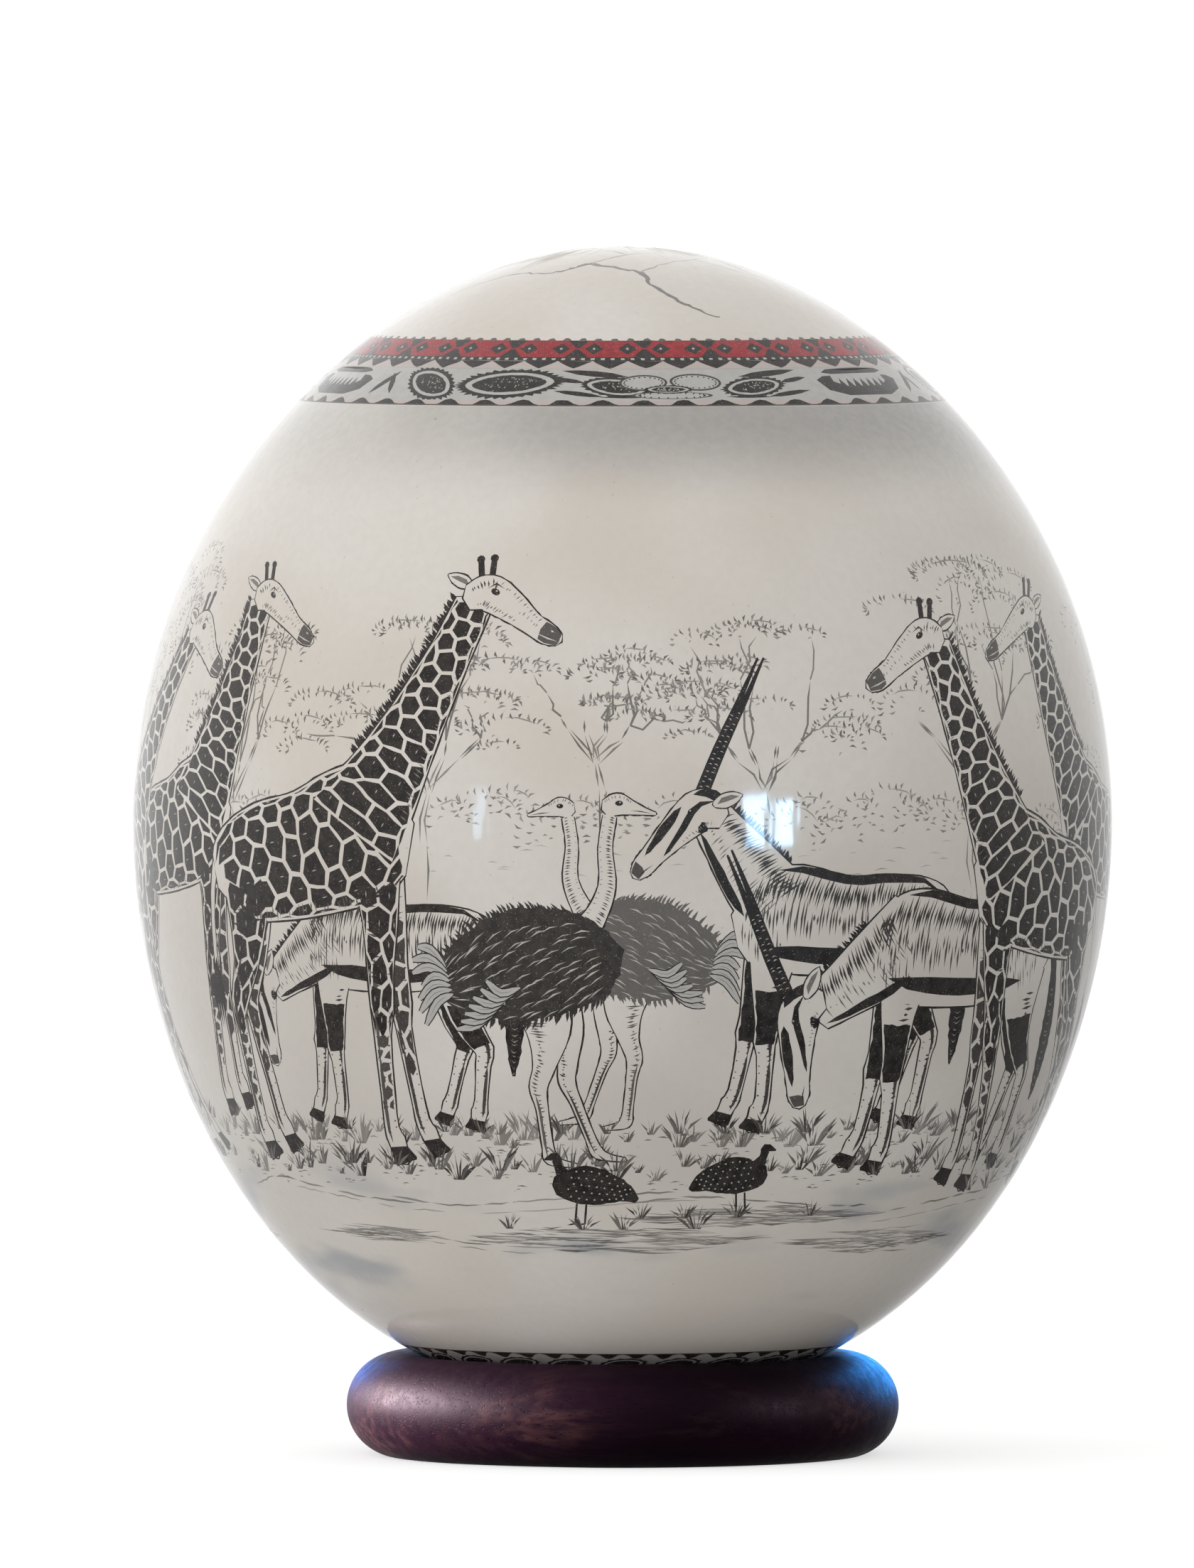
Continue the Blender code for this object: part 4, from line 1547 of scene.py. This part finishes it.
def wood_material():
    """Dark purple-brown stain under worn satin varnish, with the board's grain along X, and painted shade
    on the crown.
    """
    material, tree, shader = new_tree("stained_wood_satin")
    in_mm = place_in_mm(tree)
    sway = noise(tree, in_mm, 0.05, 2.0)
    swayed = node(tree, "CombineXYZ", {"Y": sway, "Z": sway}).outputs[0]
    board = node(tree, "VectorMath", {0: in_mm, 1: swayed}, operation="ADD").outputs[0]
    streaks = noise(tree, stretched(tree, board, (-0.07, 0.75, 0.75)), 1.0, 5.0, 0.62)
    patches = noise(tree, stretched(tree, in_mm, (-0.6, 1, 1.6)), 0.075, 3.0, 0.6)
    pores = ramp(tree, noise(tree, stretched(tree, board, (0.35, 3.2, 3.2)), 1.0, 2.0), 0.6, 0.7)
    thin = multiplied(tree, ramp(tree, streaks, 0.42, 0.72), ramp(tree, patches, 0.4, 0.66, 0.25, 1.0))
    colour = blend_colours(tree, thin, WOOD_DARK, WOOD_BROWN)
    worn = multiplied(tree, ramp(tree, patches, 0.52, 0.75), ramp(tree, streaks, 0.35, 0.65), 0.6)
    colour = blend_colours(tree, worn, colour, WOOD_WORN)
    # Painted shade: the crown, shadowed by the egg above it, is darkened towards the pore colour.
    height = node(tree, "SeparateXYZ", {"Vector": in_mm}).outputs[2]
    crown = ramp(tree, height, *CROWN_PAINTED_SHADE, 0.0, 0.85)
    colour = blend_colours(tree, crown, colour, WOOD_PORE_AND_SHADE)
    colour = blend_colours(tree, multiplied(tree, pores, 0.75), colour, WOOD_PORE_AND_SHADE)

    scuffs = noise(tree, in_mm, 0.6, 4.0, 0.6)
    relief = maths(tree, "SUBTRACT", multiplied(tree, streaks, 0.5), pores)
    relief = maths(tree, "ADD", relief, multiplied(tree, scuffs, 0.6))
    feed(tree, shader, {
        "Base Color": colour,
        "Roughness": ramp(tree, scuffs, 0.3, 0.7, 0.42, 0.54),
        "Normal": bump(tree, relief, 0.35, 0.00009),
        "Specular IOR Level": 0.03,
    })
    return material


# The ring stand, as in the CAD model
RING_TUBE_RADIUS = 6.95
RING_CENTRE_RADIUS = 29.9
RING_CENTRE_HEIGHT = 6.6
RING_ROWS = 72
RING_TURNS = 256
# The lathe work isn't quite even: waves of the tube's radius, as count round the ring, height and phase.
RING_WAVES = ((2, 0.05, 0.6), (5, 0.03, 0.0))
RING_EDGE_DEGREES = 35


def turned_ring():
    """The turned ring with its flat foot, fine enough for smooth reflections."""
    foot_angle = math.asin(RING_CENTRE_HEIGHT / RING_TUBE_RADIUS)
    sweep = math.pi + 2 * foot_angle
    points = []
    for turn in range(RING_TURNS):
        azimuth = TURN * turn / RING_TURNS
        tube = RING_TUBE_RADIUS
        for count, high, phase in RING_WAVES:
            tube += high * math.sin(count * azimuth + phase)
        for row in range(RING_ROWS + 1):
            angle = math.pi + foot_angle - sweep * row / RING_ROWS
            radius = RING_CENTRE_RADIUS + tube * math.cos(angle)
            height = max(0.0, RING_CENTRE_HEIGHT + tube * math.sin(angle))
            spot = (radius * math.sin(azimuth), -radius * math.cos(azimuth), height)
            points.append(tuple(value * MM for value in spot))
    faces = []
    rows = RING_ROWS + 1
    for turn in range(RING_TURNS):
        this, following = turn * rows, (turn + 1) % RING_TURNS * rows
        for row in range(rows):
            above = (row + 1) % rows
            faces.append((this + row, following + row, following + above, this + above))
    mesh = bpy.data.meshes.new("turned_ring")
    mesh.from_pydata(points, [], faces)
    mesh.shade_smooth()
    mesh.set_sharp_from_angle(angle=math.radians(RING_EDGE_DEGREES))
    return add_object("turned_ring", mesh)


# Studio

CAMERA_PLACE = (-0.0034, -3.5, 0.209)
CAMERA_TARGET = (-0.0034, 0.0, 0.0894)
CAMERA_LENS = 603.0

# The soft light's strength from each side, and the share of it that reflections show.
SOFT_ABOVE = 0.98
SOFT_BELOW_LEFT = 0.80
SOFT_BELOW_RIGHT = 0.31
SOFT_LEFT = 1.20
SOFT_RIGHT = 0.86
REFLECTED_FRONT = 0.5
REFLECTED_BACK = 1.3
REFLECTED_BELOW = 0.35
TENT_RADIUS = 8.0
FLOOR_RADIUS = 4.4
WALL_BEND = 1.2
WALL_TOP = 3.6
PAPER_GLOW = 0.62
PAPER_LIGHT = rgb(188, 188, 188)
PAPER_DULL = rgb(185, 185, 185)
# Name, the piece it lights alone, whether surfaces scatter it and reflect it,
# place, size in metres, power and colour.
LIGHTS = (
    ("key", None, True, False, (-1.0, -1.1, 1.3), (1.3, 1.3), 3.7, (1.0, 0.99, 0.97)),
    ("low_fill", "egg", True, False, (0.0, -1.2, 0.06), (0.9, 0.1), 2.3, (1.0, 0.99, 0.98)),
    ("window_left_pane", "egg", False, True, (0.74, -1.24, 0.108), (0.13, 0.22), 5.8, (0.42, 0.7, 1.0)),
    ("window_right_pane", "egg", False, True, (0.87, -1.14, 0.100), (0.13, 0.19), 5.4, (0.42, 0.7, 1.0)),
    ("far_window", "egg", False, True, (-0.80, -1.22, 0.140), (0.07, 0.20), 0.65, (0.5, 0.75, 1.0)),
    ("left_sheen", "ring", True, True, (-0.75, 0.06, 0.22), (0.84, 0.28), 135.0, (1.0, 0.80, 0.88)),
    ("right_sheen", "ring", True, True, (0.80, -0.26, 0.20), (0.30, 0.20), 8.0, (1.0, 0.80, 0.94)),
    ("blue_right", "ring", False, True, (0.30, 0.74, 0.27), (0.60, 0.42), 16.0, (0.0, 0.30, 1.0)),
    ("blue_left", "ring", False, True, (-0.30, 0.80, 0.16), (0.28, 0.16), 2.4, (0.02, 0.24, 1.0)),
)
LIGHTS_AIM = (0.0, 0.0, 0.08)


def aim(obj, target):
    direction = Vector(target) - obj.location
    obj.rotation_euler = direction.to_track_quat("-Z", "Y").to_euler()


def add_camera():
    data = bpy.data.cameras.new("camera")
    data.lens = CAMERA_LENS
    data.sensor_width = 36.0
    data.clip_end = 50.0
    camera = add_object("camera", data)
    camera.location = CAMERA_PLACE
    aim(camera, CAMERA_TARGET)
    bpy.context.scene.camera = camera


def add_lights(egg, ring):
    """Soft light from the upper left, window reflections in the lacquer, and sheen on the wood."""
    for name, only, scattered, reflected, place, size, power, colour in LIGHTS:
        data = bpy.data.lights.new(name, "AREA")
        data.shape = "RECTANGLE"
        data.size, data.size_y = size
        data.energy = power
        data.color = colour
        light = add_object(name, data)
        light.location = place
        light.visible_camera = False
        light.visible_diffuse = scattered
        light.visible_glossy = reflected
        aim(light, LIGHTS_AIM)
        if only:
            receivers = bpy.data.collections.new(name + "_receivers")
            receivers.objects.link({"egg": egg, "ring": ring}[only])
            light.light_linking.receiver_collection = receivers


def soft_light(tree, direction):
    """The soft light's strength by direction: most from above and the left, least from below."""
    axes = node(tree, "SeparateXYZ", {"Vector": direction}).outputs
    below = ramp(tree, axes[0], -0.7, 0.9, SOFT_BELOW_LEFT, SOFT_BELOW_RIGHT)
    by_height = ramp(tree, axes[2], -0.35, 0.3, below, SOFT_ABOVE)
    by_side = ramp(tree, axes[0], -1.0, 1.0, SOFT_LEFT, SOFT_RIGHT)
    return multiplied(tree, by_height, by_side)


def add_world():
    """What the lacquer and the varnish reflect: soft light, dimmer behind the camera."""
    world = bpy.data.worlds.new("studio")
    world.use_nodes = True
    tree = world.node_tree
    direction = node(tree, "TexCoord").outputs["Generated"]
    axes = node(tree, "SeparateXYZ", {"Vector": direction}).outputs
    by_depth = ramp(tree, axes[1], -0.95, 0.6, REFLECTED_FRONT, REFLECTED_BACK, False)
    by_height = ramp(tree, axes[2], -0.6, 0.0, REFLECTED_BELOW, 1.0)
    strength = multiplied(tree, soft_light(tree, direction), by_depth, by_height)
    feed(tree, tree.nodes["Background"], {"Color": (1.0, 1.0, 1.0, 1.0), "Strength": strength})
    world.cycles.sampling_method = "NONE"
    bpy.context.scene.world = world


def add_tent():
    """A large sphere of soft light round everything, which no reflection shows."""
    mesh = bpy.data.meshes.new("light_tent")
    shape = bmesh.new()
    bmesh.ops.create_uvsphere(shape, u_segments=48, v_segments=24, radius=TENT_RADIUS)
    shape.to_mesh(mesh)
    shape.free()
    material, tree, _ = new_tree("tent_glow")
    place = node(tree, "TexCoord").outputs["Object"]
    direction = node(tree, "VectorMath", {0: place}, operation="NORMALIZE").outputs[0]
    glow = node(tree, "Emission", {"Strength": soft_light(tree, direction)})
    feed(tree, tree.nodes["Material Output"], {"Surface": glow.outputs[0]})
    material.cycles.emission_sampling = "NONE"
    mesh.materials.append(material)
    tent = add_object("light_tent", mesh)
    tent.visible_camera = False
    tent.visible_glossy = False
    tent.visible_transmission = False


def add_backdrop():
    """A pale round floor that curves up into a wall all round, as in a light tent."""
    segments, bend_steps = 96, 16
    profile = [(0.02, 0.0), (0.3, 0.0), (1.0, 0.0), (FLOOR_RADIUS, 0.0)]
    for step in range(1, bend_steps + 1):
        angle = math.pi / 2 * step / bend_steps
        profile.append((FLOOR_RADIUS + WALL_BEND * math.sin(angle), WALL_BEND * (1 - math.cos(angle))))
    profile.append((FLOOR_RADIUS + WALL_BEND, WALL_TOP))
    vertices = [(0.0, 0.0, 0.0)]
    for radius, z in profile:
        for segment in range(segments):
            angle = TURN * segment / segments
            vertices.append((radius * math.cos(angle), radius * math.sin(angle), z))
    faces = [(0, 1 + segment, 1 + (segment + 1) % segments) for segment in range(segments)]
    for step in range(len(profile) - 1):
        low, high = 1 + step * segments, 1 + (step + 1) * segments
        for segment in range(segments):
            following = (segment + 1) % segments
            faces.append((low + segment, high + segment, high + following, low + following))
    mesh = bpy.data.meshes.new("backdrop")
    mesh.from_pydata(vertices, [], faces)
    mesh.shade_smooth()
    material, tree, shader = new_tree("backdrop_paper")
    paper = noise(tree, place_in_mm(tree), 0.4, 2.0)
    colour = blend_colours(tree, paper, PAPER_LIGHT, PAPER_DULL)
    feed(tree, shader, {
        "Base Color": colour,
        "Roughness": 0.9,
        "Specular IOR Level": 0.0,
        "Emission Color": (1.0, 1.0, 1.0, 1.0),
        "Emission Strength": PAPER_GLOW,
    })
    mesh.materials.append(material)
    backdrop = add_object("backdrop", mesh)
    backdrop.visible_glossy = False
    backdrop.visible_diffuse = False


def build():
    bpy.context.scene.view_settings.view_transform = "Standard"
    add_camera()
    add_world()
    add_tent()
    add_backdrop()
    sheet = Sheet()
    draw_print(sheet)
    egg = printed_egg(sheet)
    egg.data.materials.append(shell_material())
    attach(egg, "root")
    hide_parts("egg")

    ring = turned_ring()
    ring.data.materials.append(wood_material())
    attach(ring, "root")
    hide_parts("ring_stand")
    add_lights(egg, ring)


build()
